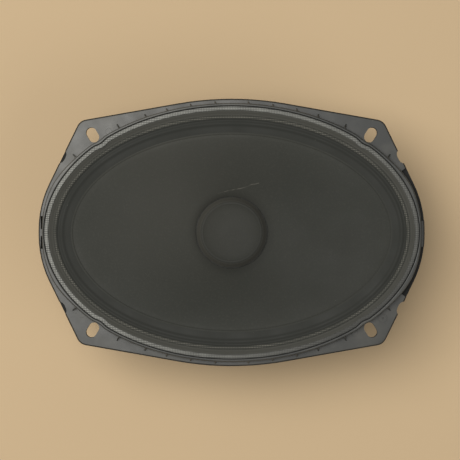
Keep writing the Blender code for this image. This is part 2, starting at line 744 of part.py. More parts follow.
def build_motor(steel, ferrite):
    """Back plate with its pole, ring magnet and top plate, stacked with a hair's gap."""
    chamfer = 0.8 * MM
    yoke = [
        (0, POLE_TOP),
        (POLE_RADIUS - chamfer, POLE_TOP),
        (POLE_RADIUS, POLE_TOP - chamfer),
        (POLE_RADIUS, BACK_PLATE_TOP),
        (BACK_PLATE_RADIUS - chamfer, BACK_PLATE_TOP),
        (BACK_PLATE_RADIUS, BACK_PLATE_TOP - chamfer),
        (BACK_PLATE_RADIUS, chamfer),
        (BACK_PLATE_RADIUS - chamfer, 0),
        (0, 0),
    ]
    turned_solid("yoke", yoke, steel, ROUND_STEPS)
    magnet = [
        (MAGNET_RADIUS - chamfer, MAGNET_TOP),
        (MAGNET_RADIUS, MAGNET_TOP - chamfer),
        (MAGNET_RADIUS, MAGNET_BOTTOM + chamfer),
        (MAGNET_RADIUS - chamfer, MAGNET_BOTTOM),
        (MAGNET_BORE, MAGNET_BOTTOM),
        (MAGNET_BORE, MAGNET_TOP),
    ]
    turned("magnet", magnet, ferrite, ROUND_STEPS)
    plate = [
        (TOP_PLATE_RADIUS, TOP_PLATE_TOP),
        (TOP_PLATE_RADIUS, TOP_PLATE_BOTTOM + chamfer),
        (TOP_PLATE_RADIUS - chamfer, TOP_PLATE_BOTTOM),
        (TOP_PLATE_BORE, TOP_PLATE_BOTTOM),
        (TOP_PLATE_BORE, TOP_PLATE_TOP),
    ]
    top_plate = turned("top_plate", plate, steel, ROUND_STEPS)
    bm = bmesh.new()
    for angle in screw_angles():
        place = Matrix.Rotation(angle, 4, "Z") @ Matrix.Translation((SCREW_CIRCLE, 0, TOP_PLATE_TOP))
        bmesh.ops.create_cone(
            bm,
            cap_ends=True,
            segments=16,
            radius1=SCREW_SHANK + GAP,
            radius2=SCREW_SHANK + GAP,
            depth=14 * MM,
            matrix=place,
        )
    combine(top_plate, as_cutter(finish_object("top_plate_holes", bm, steel)), "DIFFERENCE")


def turned_solid(name, profile, material, steps):
    """A turned piece with no bore: its profile starts and ends on the axis."""
    bm = bmesh.new()
    verts = [bm.verts.new((radius, 0, height)) for radius, height in profile]
    edges = [bm.edges.new(pair) for pair in zip(verts, verts[1:])]
    bmesh.ops.spin(
        bm,
        geom=verts + edges,
        cent=(0, 0, 0),
        axis=(0, 0, 1),
        angle=2 * math.pi,
        steps=steps,
        use_merge=True,
    )
    bmesh.ops.remove_doubles(bm, verts=bm.verts, dist=1e-6)
    return finish_object(name, bm, material)


def build_screws(zinc):
    """Pan-head screws that hold the basket's seat to the top plate."""
    head_bottom = SEAT_TOP + GAP
    head_top = head_bottom + 2.2 * MM
    tip = TOP_PLATE_BOTTOM + 0.8 * MM
    profile = [
        (0, head_top),
        (SCREW_HEAD - 0.9 * MM, head_top),
        (SCREW_HEAD - 0.2 * MM, head_top - 0.7 * MM),
        (SCREW_HEAD, head_bottom),
        (SCREW_SHANK, head_bottom),
        (SCREW_SHANK, tip),
        (0, tip),
    ]
    for number, angle in enumerate(screw_angles(), 1):
        screw = turned_solid(f"motor_screw_{number}", profile, zinc, SCREW_STEPS)
        place = Matrix.Rotation(angle, 4, "Z") @ Matrix.Translation((SCREW_CIRCLE, 0, 0))
        screw.location = place.to_translation()


def cone_share_height(share):
    return CONE_ROUND_HEIGHT + (CONE_EDGE_HEIGHT - CONE_ROUND_HEIGHT) * (1 - (1 - share) ** CONE_FLARE)


def build_cone(paper, mover):
    stations = even_stations(OVAL_STEPS)
    loops = [
        round_loop(stations, CONE_NECK_RADIUS, CONE_NECK_HEIGHT),
        round_loop(stations, CONE_ROUND_RADIUS, CONE_ROUND_HEIGHT),
    ]
    for share in (0.16, 0.36, 0.58, 0.8, 1.0):
        height = cone_share_height(share)
        loops.append(mixed_loop(stations, CONE_ROUND_RADIUS, CONE_EDGE_OFFSET, share, height))
    loops.append(oval_loop(stations, CONE_LIP_OFFSET, CONE_LIP_HEIGHT))
    return thin_skin("cone", loops, CONE_THICKNESS, paper, mover)


def thin_skin(name, loops, thickness, material, mover):
    """An open surface through the loops, thickened away from the listener."""
    bm = bmesh.new()
    loft(bm, loops)
    made = finish_object(name, bm, material)
    upward = sum(polygon.normal.z * polygon.area for polygon in made.data.polygons) > 0
    if not upward:
        made.data.flip_normals()
    add_solidify(made, thickness, -1)
    made.parent = mover
    return made


def build_surround(cloth):
    """Two pleats of treated cloth between the ledge and the cone's lip."""
    stations = even_stations(OVAL_STEPS)
    sections = [(-SCREW_DIP_DEPTH, SURROUND_FLANGE_HEIGHT)] + list(SURROUND_WAVE)
    sections.append((SURROUND_FOOT_OFFSET, SURROUND_INNER_HEIGHT))
    loops = [oval_loop(stations, offset, height + SURROUND_THICKNESS) for offset, height in sections]
    return thin_skin("surround", loops, SURROUND_THICKNESS, cloth, None)


def build_edge_ring(cloth):
    """The flat cloth ring on the surround's outer edge, drawn in beside each screw."""
    stations = rim_stations()
    loops = [
        oval_loop(stations, lambda t: -screw_dip(t), EDGE_RING_BOTTOM),
        oval_loop(stations, lambda t: -screw_dip(t), EDGE_RING_TOP),
        oval_loop(stations, lambda t: -EDGE_RING_WIDTH - screw_dip(t), EDGE_RING_TOP),
        oval_loop(stations, lambda t: -EDGE_RING_WIDTH - screw_dip(t), EDGE_RING_BOTTOM),
    ]
    bm = bmesh.new()
    loft(bm, loops, closed=True)
    return finish_object("edge_ring", bm, cloth)


def build_dust_cap(paper, mover):
    """A cap with a sloping wall, a rounded lip and a dished middle."""
    outer = [
        (CAP_FOOT_RADIUS, CAP_FOOT_HEIGHT),
        (CAP_LIP_RADIUS + 1.3 * MM, CAP_LIP_HEIGHT - 0.9 * MM),
        (CAP_LIP_RADIUS + 0.5 * MM, CAP_LIP_HEIGHT - 0.15 * MM),
        (CAP_LIP_RADIUS - 0.3 * MM, CAP_LIP_HEIGHT - 0.1 * MM),
    ]
    dish_edge = CAP_LIP_RADIUS - 1.1 * MM
    for share in (1.0, 0.7, 0.35):
        depth = CAP_LIP_HEIGHT - 0.8 * MM - CAP_DISH_HEIGHT
        outer.append((dish_edge * share, CAP_DISH_HEIGHT + depth * share**2))
    outer.append((0, CAP_DISH_HEIGHT))
    under = [(max(0, radius - 0.7 * CAP_THICKNESS), height - CAP_THICKNESS) for radius, height in outer[1:]]
    profile = outer + under[::-1] + [(CAP_FOOT_RADIUS - 0.9 * MM, CAP_FOOT_HEIGHT)]
    split = len(outer)
    loop = profile[split:] + profile[:split]
    cap = turned_solid("dust_cap", loop, paper, COIL_STEPS)
    cap.parent = mover
    return cap


def ring_profile(inner, outer, bottom, top):
    return [(outer, top), (outer, bottom), (inner, bottom), (inner, top)]


def build_voice_coil(kapton, copper, paper, mover):
    former = ring_profile(FORMER_INNER, FORMER_OUTER, FORMER_BOTTOM, FORMER_TOP)
    turned("voice_coil_former", former, kapton, COIL_STEPS).parent = mover
    winding = ring_profile(FORMER_OUTER + GAP, WINDING_OUTER, WINDING_BOTTOM, WINDING_TOP)
    turned("voice_coil_winding", winding, copper, COIL_STEPS).parent = mover
    stations = np.linspace(COLLAR_SLOT_ANGLE, 2 * math.pi - COLLAR_SLOT_ANGLE, COIL_STEPS)
    outline = [(COLLAR_OUTER * math.cos(a), COLLAR_OUTER * math.sin(a)) for a in stations]
    inner_radius = FORMER_OUTER + GAP
    outline += [(inner_radius * math.cos(a), inner_radius * math.sin(a)) for a in stations[::-1]]
    bm = bmesh.new()
    prism(bm, outline, COLLAR_BOTTOM, COLLAR_TOP)
    finish_object("former_collar", bm, paper).parent = mover


def build_coil_ends(copper, solder, mover):
    """The two coil wires that climb the former, and the solder joint at the top of each."""
    for name, side in (("positive", 1), ("negative", -1)):
        turn = Matrix.Rotation(side * LEAD_ANGLE, 4, "Z")
        bm = bmesh.new()
        box(bm, (16.2 * MM, -0.35 * MM, WINDING_TOP + GAP), (16.6 * MM, 0.35 * MM, 43.7 * MM))
        bmesh.ops.transform(bm, matrix=turn, verts=bm.verts)
        finish_object(f"coil_wire_{name}", bm, copper).parent = mover
        bm = bmesh.new()
        shape = Matrix.Diagonal((1.25 * MM, 1.4 * MM, 1.0 * MM, 1))
        place = turn @ Matrix.Translation((17.7 * MM, 0, 45.2 * MM))
        bmesh.ops.create_uvsphere(bm, u_segments=14, v_segments=8, radius=1, matrix=place @ shape)
        finish_object(f"solder_joint_{name}", bm, solder).parent = mover


def build_spider(cloth):
    """A corrugated disc from the former's collar to the round ledge."""
    stations = even_stations(ROUND_STEPS)
    wave = []
    count = 2 * SPIDER_ROLLS + 1
    for i in range(count):
        radius = SPIDER_ROLL_START + (SPIDER_ROLL_END - SPIDER_ROLL_START) * i / (count - 1)
        swing = SPIDER_ROLL_HEIGHT if i % 2 else 0
        wave.append((radius, SPIDER_PLANE + SPIDER_THICKNESS + swing))
    sections = [
        (SPIDER_NECK_RADIUS, SPIDER_PLANE + 2.4 * MM),
        (SPIDER_NECK_RADIUS + 0.3 * MM, SPIDER_PLANE + 0.9 * MM),
    ]
    sections += wave + [(SPIDER_RADIUS, SPIDER_PLANE + SPIDER_THICKNESS)]
    loops = [round_loop(stations, radius, height) for radius, height in sections]
    return thin_skin("spider", loops, SPIDER_THICKNESS, cloth, None)


def build_connector(plastic, brass):
    """The socket in its bracket and its two blades, whose tags rise through the spoke."""
    bm = bmesh.new()
    box(bm, (SOCKET_BACK, -SOCKET_HALF_WIDTH, SOCKET_BOTTOM), (SOCKET_MOUTH, SOCKET_HALF_WIDTH, SOCKET_TOP))
    socket = finish_object("connector_socket", bm, plastic)
    blade_height = (SOCKET_BOTTOM + SOCKET_TOP) / 2
    bm = bmesh.new()
    half = SOCKET_HALF_WIDTH - SOCKET_WALL
    low = (SOCKET_BACK + SOCKET_BACK_WALL, -half, SOCKET_BOTTOM + SOCKET_WALL)
    box(bm, low, (SOCKET_MOUTH + 4 * MM, half, SOCKET_TOP - SOCKET_WALL))
    combine(socket, as_cutter(finish_object("socket_cavity", bm, plastic)), "DIFFERENCE")
    bm = bmesh.new()
    clear = BLADE_WIDTH / 2 + GAP
    for side in (-1, 1):
        low = (SOCKET_BACK - 2 * MM, side * BLADE_Y - clear, blade_height - BLADE_THICKNESS / 2 - GAP)
        high = (SOCKET_BACK + 6 * MM, side * BLADE_Y + clear, blade_height + BLADE_THICKNESS / 2 + GAP)
        box(bm, low, high)
    catch_low = (CATCH_START, -CATCH_HALF_WIDTH, SOCKET_TOP - 1.5 * SOCKET_WALL)
    catch_high = (CATCH_END, CATCH_HALF_WIDTH, SOCKET_TOP + SOCKET_WALL)
    box(bm, catch_low, catch_high)
    combine(socket, as_cutter(finish_object("socket_slots", bm, plastic)), "DIFFERENCE")
    for name, side in (("positive", 1), ("negative", -1)):
        width = BLADE_WIDTH / 2
        low_z = blade_height - BLADE_THICKNESS / 2
        high_z = blade_height + BLADE_THICKNESS / 2
        outline = (
            (TAG_X, low_z),
            (BLADE_TIP - 1 * MM, low_z),
            (BLADE_TIP, blade_height),
            (BLADE_TIP - 1 * MM, high_z),
            (TAG_X + BLADE_THICKNESS, high_z),
            (TAG_X + BLADE_THICKNESS, TAG_TOP),
            (TAG_X, TAG_TOP),
        )
        bm = bmesh.new()
        y = side * BLADE_Y - width
        face = bm.faces.new([bm.verts.new((x, y, z)) for x, z in outline])
        grown = bmesh.ops.extrude_face_region(bm, geom=[face])["geom"]
        moved = [item for item in grown if isinstance(item, bmesh.types.BMVert)]
        bmesh.ops.translate(bm, verts=moved, vec=(0, 2 * width, 0))
        finish_object(f"terminal_blade_{name}", bm, brass)


# Route of each tinsel lead in the plane of its own side: distance from the axis and height
def build_tinsel_leads(copper):
    """A braided lead from each solder joint to its tag, free between its two ends."""
    for name, side in (("positive", 1), ("negative", -1)):
        ends = [LEAD_ROUTE[0][0], LEAD_ROUTE[-1][0]]
        spread = np.interp([x for x, _ in LEAD_ROUTE], ends, [LEAD_START_Y, LEAD_END_Y])
        route = [Vector((x, side * y, z)) for (x, z), y in zip(LEAD_ROUTE, spread)]
        curve = bpy.data.curves.new(f"tinsel_lead_{name}", "CURVE")
        curve.dimensions = "3D"
        spline = curve.splines.new("POLY")
        smooth = smooth_route(route, 2)
        spline.points.add(len(smooth) - 1)
        for point, place in zip(spline.points, smooth):
            point.co = (*place, 1)
        curve.bevel_depth = LEAD_RADIUS
        curve.bevel_resolution = 1
        curve.use_fill_caps = True
        curve.materials.append(copper)
        made = bpy.data.objects.new(f"tinsel_lead_{name}", curve)
        parts.objects.link(made)


def smooth_route(points, steps):
    """Points along a smooth curve that passes through each given point."""
    padded = [2 * points[0] - points[1]] + list(points) + [2 * points[-1] - points[-2]]
    found = []
    for before, start, end, after in zip(padded, padded[1:], padded[2:], padded[3:]):
        for step in range(steps):
            u = step / steps
            tangent_in = (end - before) / 2
            tangent_out = (after - start) / 2
            bend = (2 * u**3 - 3 * u**2 + 1) * start + (u**3 - 2 * u**2 + u) * tangent_in
            found.append(bend + (3 * u**2 - 2 * u**3) * end + (u**3 - u**2) * tangent_out)
    found.append(points[-1])
    return found


def main():
    clear_scene()
    basket_plastic = make_material("basket_plastic", (0.035, 0.036, 0.033), 0.5)
    cone_paper = make_material("cone_paper", (0.045, 0.046, 0.041), 0.8)
    surround_cloth = make_material("surround_cloth", (0.055, 0.056, 0.05), 0.75)
    ring_cloth = make_material("ring_cloth", (0.13, 0.13, 0.12), 0.85)
    spider_cloth = make_material("spider_cloth", (0.36, 0.2, 0.09), 0.85)
    steel = make_material("zinc_plated_steel", (0.5, 0.5, 0.47), 0.35, 1.0)
    ferrite = make_material("ferrite", (0.05, 0.05, 0.055), 0.55)
    kapton = make_material("former_film", (0.45, 0.2, 0.05), 0.3)
    copper = make_material("copper_wire", (0.6, 0.25, 0.12), 0.3, 1.0)
    collar_paper = make_material("collar_paper", (0.42, 0.3, 0.18), 0.85)
    solder = make_material("solder", (0.6, 0.6, 0.6), 0.3, 1.0)
    socket_plastic = make_material("socket_plastic", (0.02, 0.02, 0.02), 0.45)
    brass = make_material("brass_blade", (0.7, 0.55, 0.25), 0.3, 1.0)
    mover = bpy.data.objects.new("moving_axis", None)
    parts.objects.link(mover)
    build_basket(basket_plastic)
    build_edge_ring(ring_cloth)
    build_surround(surround_cloth)
    build_cone(cone_paper, mover)
    build_dust_cap(cone_paper, mover)
    build_voice_coil(kapton, copper, collar_paper, mover)
    build_coil_ends(copper, solder, mover)
    build_spider(spider_cloth)
    build_motor(steel, ferrite)
    build_screws(steel)
    build_connector(socket_plastic, brass)
    build_tinsel_leads(copper)


main()
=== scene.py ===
"""The looks of the oval car speaker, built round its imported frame.

Each piece has its own operator in the sidebar panel. Lengths are metres in the frame of the part:
+Z points at the listener, +X along the oval and the origin is the middle of the back plate's rear.
"""

import math

import bmesh
import bpy
import numpy as np
from mathutils import Matrix, Vector


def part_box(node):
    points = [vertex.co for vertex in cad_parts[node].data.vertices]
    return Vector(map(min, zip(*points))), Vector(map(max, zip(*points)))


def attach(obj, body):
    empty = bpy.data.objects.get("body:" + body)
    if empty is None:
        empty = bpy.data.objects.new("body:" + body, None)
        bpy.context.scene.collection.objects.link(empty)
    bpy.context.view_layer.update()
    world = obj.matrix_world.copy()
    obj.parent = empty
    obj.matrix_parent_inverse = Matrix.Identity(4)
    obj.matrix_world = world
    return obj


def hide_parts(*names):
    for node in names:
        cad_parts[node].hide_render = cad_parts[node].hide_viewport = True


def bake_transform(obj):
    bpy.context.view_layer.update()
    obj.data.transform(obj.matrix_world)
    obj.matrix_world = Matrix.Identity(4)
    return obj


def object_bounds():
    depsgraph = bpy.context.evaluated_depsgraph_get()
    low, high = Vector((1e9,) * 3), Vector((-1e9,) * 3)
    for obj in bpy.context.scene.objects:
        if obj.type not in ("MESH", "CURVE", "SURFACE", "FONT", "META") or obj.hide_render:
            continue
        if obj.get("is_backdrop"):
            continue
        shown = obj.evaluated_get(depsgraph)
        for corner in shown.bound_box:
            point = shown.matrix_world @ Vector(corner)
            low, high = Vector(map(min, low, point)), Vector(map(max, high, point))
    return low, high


bl_info = {
    "name": "Oval Car Speaker",
    "version": (1, 0, 0),
    "blender": (4, 5, 0),
    "location": "View3D > Sidebar > Speaker",
    "description": "Builds the visible pieces of an oval car speaker round its frame",
    "category": "Object",
}

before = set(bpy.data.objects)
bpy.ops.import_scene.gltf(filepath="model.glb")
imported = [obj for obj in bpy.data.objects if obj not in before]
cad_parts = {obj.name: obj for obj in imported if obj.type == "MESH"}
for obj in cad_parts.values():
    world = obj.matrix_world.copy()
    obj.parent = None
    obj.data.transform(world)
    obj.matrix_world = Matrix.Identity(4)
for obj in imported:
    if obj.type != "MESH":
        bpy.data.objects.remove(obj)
CAD_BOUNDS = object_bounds()

MM = 0.001
FIXED = "chassis"
MOVING = "diaphragm"
FULL_TURN = 2 * math.pi
WARP_SHARE = 0.76  # The warp's pitch over the weft's, in the surround and in the edge ring

# The oval that the rings run parallel to is the outer edge of the edge ring
RING_LOW, RING_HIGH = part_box("edge_ring")
OVAL_A = RING_HIGH.x
OVAL_B = RING_HIGH.y
EAR_T = math.radians(45.5)
DIP_HALF_ANGLE = math.radians(3.4)
DIP_DEPTH = 0.85 * MM

# Heights on the basket
FLANGE_REAR = 70.2 * MM
RIM_FOOT = 73.2 * MM
FLANGE_FRONT = 73.6 * MM
LEDGE_TOP = 75.3 * MM


def from_display(red, green, blue):
    """A colour picked on screen, 0 to 255, as the linear colour that a shader takes."""
    shares = (channel / 255 for channel in (red, green, blue))
    return tuple(((share + 0.055) / 1.055) ** 2.4 if share > 0.04045 else share / 12.92 for share in shares)


def metres(*pairs):
    """Pairs of millimetres as pairs of metres."""
    return [(first * MM, second * MM) for first, second in pairs]


def colour_setting(name, description, default):
    return bpy.props.FloatVectorProperty(
        name=name, description=description, default=default, subtype="COLOR", size=3, min=0.0, max=1.0
    )


def length_setting(name, description, default):
    return bpy.props.FloatProperty(
        name=name, description=description, default=default, subtype="DISTANCE", unit="LENGTH", precision=5
    )


class SpeakerSizes(bpy.types.PropertyGroup):
    """Sizes of the fine detail that the frame doesn't hold"""

    thread_pitch: length_setting("Thread pitch", "Distance between the surround's threads", 1.3 * MM)
    ring_pitch: length_setting("Ring pitch", "Distance between the threads of the edge ring", 1.3 * MM)
    ring_ripple: length_setting("Ring ripple", "Height of the edge ring's ribs", 0.05 * MM)
    spider_pitch: length_setting("Spider pitch", "Distance between the spider's threads", 1.1 * MM)
    edge_round: length_setting("Edge rounding", "Radius on the basket's moulded edges", 0.35 * MM)
    glue_height: length_setting("Glue bead", "Radius of the glue bead round the dust cap", 0.4 * MM)
    wire_pitch: length_setting("Wire pitch", "Distance between two turns of the voice coil", 0.32 * MM)
    lead_radius: length_setting("Lead radius", "Radius of a tinsel lead", 0.65 * MM)
    camera_height: length_setting("Camera height", "Distance from the camera to the rim", 0.8)
    view_width: length_setting("View width", "Width of the view at the flange", 0.2814)


class SpeakerColours(bpy.types.PropertyGroup):
    """Colours of the pieces"""

    basket: colour_setting("Basket", "Moulded plastic of the basket", from_display(44, 45, 42))
    # The dust colour also paints highlights on the basket, the cone, the dust cap and the surround's bead.
    dust: colour_setting("Dust", "Dust that has settled on the front", from_display(150, 146, 134))
    cone: colour_setting("Cone", "Paper of the cone and the dust cap", from_display(46, 47, 42))
    surround: colour_setting("Surround", "Treated cloth of the surround", from_display(53, 54, 49))
    ring: colour_setting("Edge ring", "Woven cloth of the edge ring", from_display(150, 150, 143))
    spider: colour_setting("Spider", "Resin-treated cloth of the spider", from_display(168, 122, 62))
    steel: colour_setting("Steel", "Zinc-plated steel of the motor", from_display(176, 176, 170))
    ferrite: colour_setting("Ferrite", "Ground ferrite of the magnet", from_display(62, 62, 64))
    film: colour_setting("Former film", "Film of the voice coil's former", from_display(176, 116, 48))
    copper: colour_setting("Copper", "Enamelled wire and tinsel", from_display(190, 112, 72))
    kraft: colour_setting("Collar paper", "Paper collar on the former", from_display(178, 148, 108))
    brass: colour_setting("Blades", "Tin-plated brass of the blades", from_display(206, 196, 160))
    floor: colour_setting("Floor", "Paper that the speaker lies on", from_display(196, 171, 135))


# ---------------------------------------------------------------- curves in plan


def oval_point(t, offset):
    """The point at parameter t on the curve parallel to the oval, offset outwards."""
    normal = Vector((OVAL_B * math.cos(t), OVAL_A * math.sin(t))).normalized()
    return Vector((OVAL_A * math.cos(t), OVAL_B * math.sin(t))) + offset * normal


def even_parameters(count):
    """Parameters at equal distances round the oval."""
    fine = np.linspace(0, FULL_TURN, 7200)
    speed = np.hypot(OVAL_A * np.sin(fine), OVAL_B * np.cos(fine))
    walked = np.concatenate([[0], np.cumsum((speed[1:] + speed[:-1]) / 2)])
    return np.interp(np.linspace(0, walked[-1], count + 1)[:-1], walked, fine).tolist()


def oval_length():
    fine = np.linspace(0, FULL_TURN, 7200)
    return float(np.hypot(OVAL_A * np.sin(fine), OVAL_B * np.cos(fine)).mean() * FULL_TURN)


def folded(t):
    return abs(math.atan2(math.sin(t), abs(math.cos(t))))


def screw_dip(t):
    """How far the rim and the edge ring draw in beside a screw slot."""
    share = min(1.0, abs(folded(t) - EAR_T) / DIP_HALF_ANGLE)
    return DIP_DEPTH * (0.5 + 0.5 * math.cos(math.pi * share))


def bump_at(t, centre, spread):
    return math.exp(-(((math.degrees(folded(t)) - centre) / spread) ** 2))


def rim_width(t):
    return (1.9 + 1.0 * bump_at(t, 22, 10) - 0.6 * bump_at(t, 0, 7)) * MM - 0.7 * screw_dip(t)


def along_oval(offset, height):
    """A loop parallel to the oval, as a function of the parameter."""

    def place(t):
        x, y = oval_point(t, offset(t) if callable(offset) else offset)
        return Vector((x, y, height(t) if callable(height) else height))

    return place


def round_to_oval(radius, offset, share, height):
    """A loop between a circle, at share 0, and a parallel of the oval, at share 1."""

    def place(t):
        inner = Vector((radius * math.cos(t), radius * math.sin(t)))
        x, y = inner.lerp(oval_point(t, offset), share)
        return Vector((x, y, height))

    return place


def round_loop(radius, height):
    return lambda t: Vector((radius * math.cos(t), radius * math.sin(t), height))


# ---------------------------------------------------------------- mesh building


def skin_round(loops, parameters, closed=False, give=None):
    """Skins the loops by growing a circle's edges outwards, with a UV map in metres.

    give lists how far each loop follows the moving body, from 0 to 1.
    """
    bm = bmesh.new()
    step = bm.verts.layers.float.new("step")
    across = bm.verts.layers.float.new("across")
    share = bm.verts.layers.float.new("give")
    ring = bmesh.ops.create_circle(bm, cap_ends=False, segments=len(parameters), radius=1)["verts"]
    for number, vert in enumerate(ring):
        vert[step] = number
        vert.co = loops[0](parameters[number])
        vert[share] = give[0] if give else 0.0
    edges = first_edges = list(bm.edges)
    walked = 0.0
    for number, loop in enumerate(loops[1:], 1):
        walked += (loop(0.0) - loops[number - 1](0.0)).length
        grown = bmesh.ops.extrude_edge_only(bm, edges=edges)["geom"]
        ring = {item for item in grown if isinstance(item, bmesh.types.BMVert)}
        for vert in ring:
            vert.co = loop(parameters[round(vert[step])])
            vert[across] = walked
            vert[share] = give[number] if give else 0.0
        edges = [edge for edge in {e for vert in ring for e in vert.link_edges} if set(edge.verts) <= ring]
    if closed:
        bmesh.ops.bridge_loops(bm, edges=first_edges + edges)
    map_skin(bm, step, across, len(parameters))
    return bm


def map_skin(bm, step, across, count):
    """UV in metres: u along the oval and v across the section."""
    uv = bm.loops.layers.uv.new("UVMap")
    length = oval_length()
    for face in bm.faces:
        crosses_seam = max(v[step] for v in face.verts) - min(v[step] for v in face.verts) > count / 2
        for loop in face.loops:
            place = loop.vert[step]
            if crosses_seam and place < count / 2:
                place += count
            loop[uv].uv = (place / count * length, loop.vert[across])


def spin_profile(bm, profile, steps):
    """Turns a profile of (radius, height) about Z. A profile that closes is turned into a ring."""
    verts = [bm.verts.new((radius, 0, height)) for radius, height in profile]
    edges = [bm.edges.new(pair) for pair in zip(verts, verts[1:])]
    if min(radius for radius, _ in profile) > 1e-6:
        edges.append(bm.edges.new((verts[-1], verts[0])))
    bmesh.ops.spin(
        bm,
        geom=verts + edges,
        cent=(0, 0, 0),
        axis=(0, 0, 1),
        angle=FULL_TURN,
        steps=steps,
        use_merge=True,
    )
    bmesh.ops.remove_doubles(bm, verts=bm.verts, dist=1e-6)


def raise_outline(bm, points, shift):
    """A face through the points, extruded by the shift. Returns the verts of the solid."""
    face = bm.faces.new([bm.verts.new(point) for point in points])
    grown = bmesh.ops.extrude_face_region(bm, geom=[face])["geom"]
    moved = [item for item in grown if isinstance(item, bmesh.types.BMVert)]
    bmesh.ops.translate(bm, verts=moved, vec=shift)
    return list(face.verts) + moved


def round_edges(bm, verts, radius, segments=2):
    """Rounds every edge between the verts that turns by more than 25 degrees."""
    chosen = set(verts)
    edges = [
        edge
        for edge in bm.edges
        if edge.verts[0] in chosen and edge.verts[1] in chosen and len(edge.link_faces) == 2
        and edge.calc_face_angle() > math.radians(25)
    ]
    bmesh.ops.bevel(
        bm,
        geom=edges,
        offset=radius,
        segments=segments,
        profile=0.5,
        affect="EDGES",
        clamp_overlap=True,
        material=-1,
    )


def add_box(bm, low, high, rounding=0.0):
    size = Vector(high) - Vector(low)
    middle = (Vector(high) + Vector(low)) / 2
    place = Matrix.Translation(middle) @ Matrix.Diagonal((*size, 1))
    verts = bmesh.ops.create_cube(bm, size=1, matrix=place)["verts"]
    if rounding:
        round_edges(bm, verts, rounding)


def rounded_profile(points, radius, segments=3):
    """The closed profile with each corner replaced by a small arc."""
    rounded = []
    count = len(points)
    for number, corner in enumerate(points):
        here = Vector(corner)
        before = Vector(points[number - 1])
        after = Vector(points[(number + 1) % count])
        reach = min(radius, (before - here).length * 0.45, (after - here).length * 0.45)
        start = here + (before - here).normalized() * reach
        end = here + (after - here).normalized() * reach
        for step in range(segments + 1):
            u = step / segments
            rounded.append(tuple((1 - u) ** 2 * start + 2 * u * (1 - u) * here + u**2 * end))
    return rounded


def mesh_object(name, bm, material, sharp=38, face_up=False):
    if face_up:
        if sum(face.normal.z * face.calc_area() for face in bm.faces) < 0:
            bmesh.ops.reverse_faces(bm, faces=bm.faces)
    else:
        bmesh.ops.recalc_face_normals(bm, faces=bm.faces)
    mesh = bpy.data.meshes.new(name)
    bm.normal_update()
    bm.to_mesh(mesh)
    bm.free()
    mesh.materials.append(material)
    mesh.shade_smooth()
    mesh.set_sharp_from_angle(angle=math.radians(sharp))
    made = bpy.data.objects.new(name, mesh)
    bpy.context.scene.collection.objects.link(made)
    return made


def show(piece, body, slot, *nodes):
    """Gives a finished piece its body, and hides the CAD nodes that it stands for."""
    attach(piece, body)
    if nodes:
        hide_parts(*nodes)
    return piece


def show_bending(piece, slot, *nodes):
    """Bakes the piece's transform, reads each vert's share of give and hides the CAD nodes that it stands
    for.
    """
    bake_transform(piece)
    give = np.zeros(len(piece.data.vertices), np.float32)
    piece.data.attributes["give"].data.foreach_get("value", give)
    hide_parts(*nodes)


def add_wall(piece, thickness, offset=-1.0):
    wall = piece.modifiers.new("wall", "SOLIDIFY")
    wall.thickness = thickness
    wall.offset = offset
    wall.use_even_offset = True


def cut_away(piece, cutter_bm):
    """Takes the cutter's shape out of the piece at once."""
    cutter = mesh_object("cutter", cutter_bm, piece.data.materials[0])
    step = piece.modifiers.new("cut", "BOOLEAN")
    step.operation = "DIFFERENCE"
    step.solver = "EXACT"
    step.object = cutter
    graph = bpy.context.evaluated_depsgraph_get()
    mesh = bpy.data.meshes.new_from_object(piece.evaluated_get(graph))
    piece.modifiers.clear()
    piece.data = mesh
    bpy.data.objects.remove(cutter, do_unlink=True)


# ---------------------------------------------------------------- materials


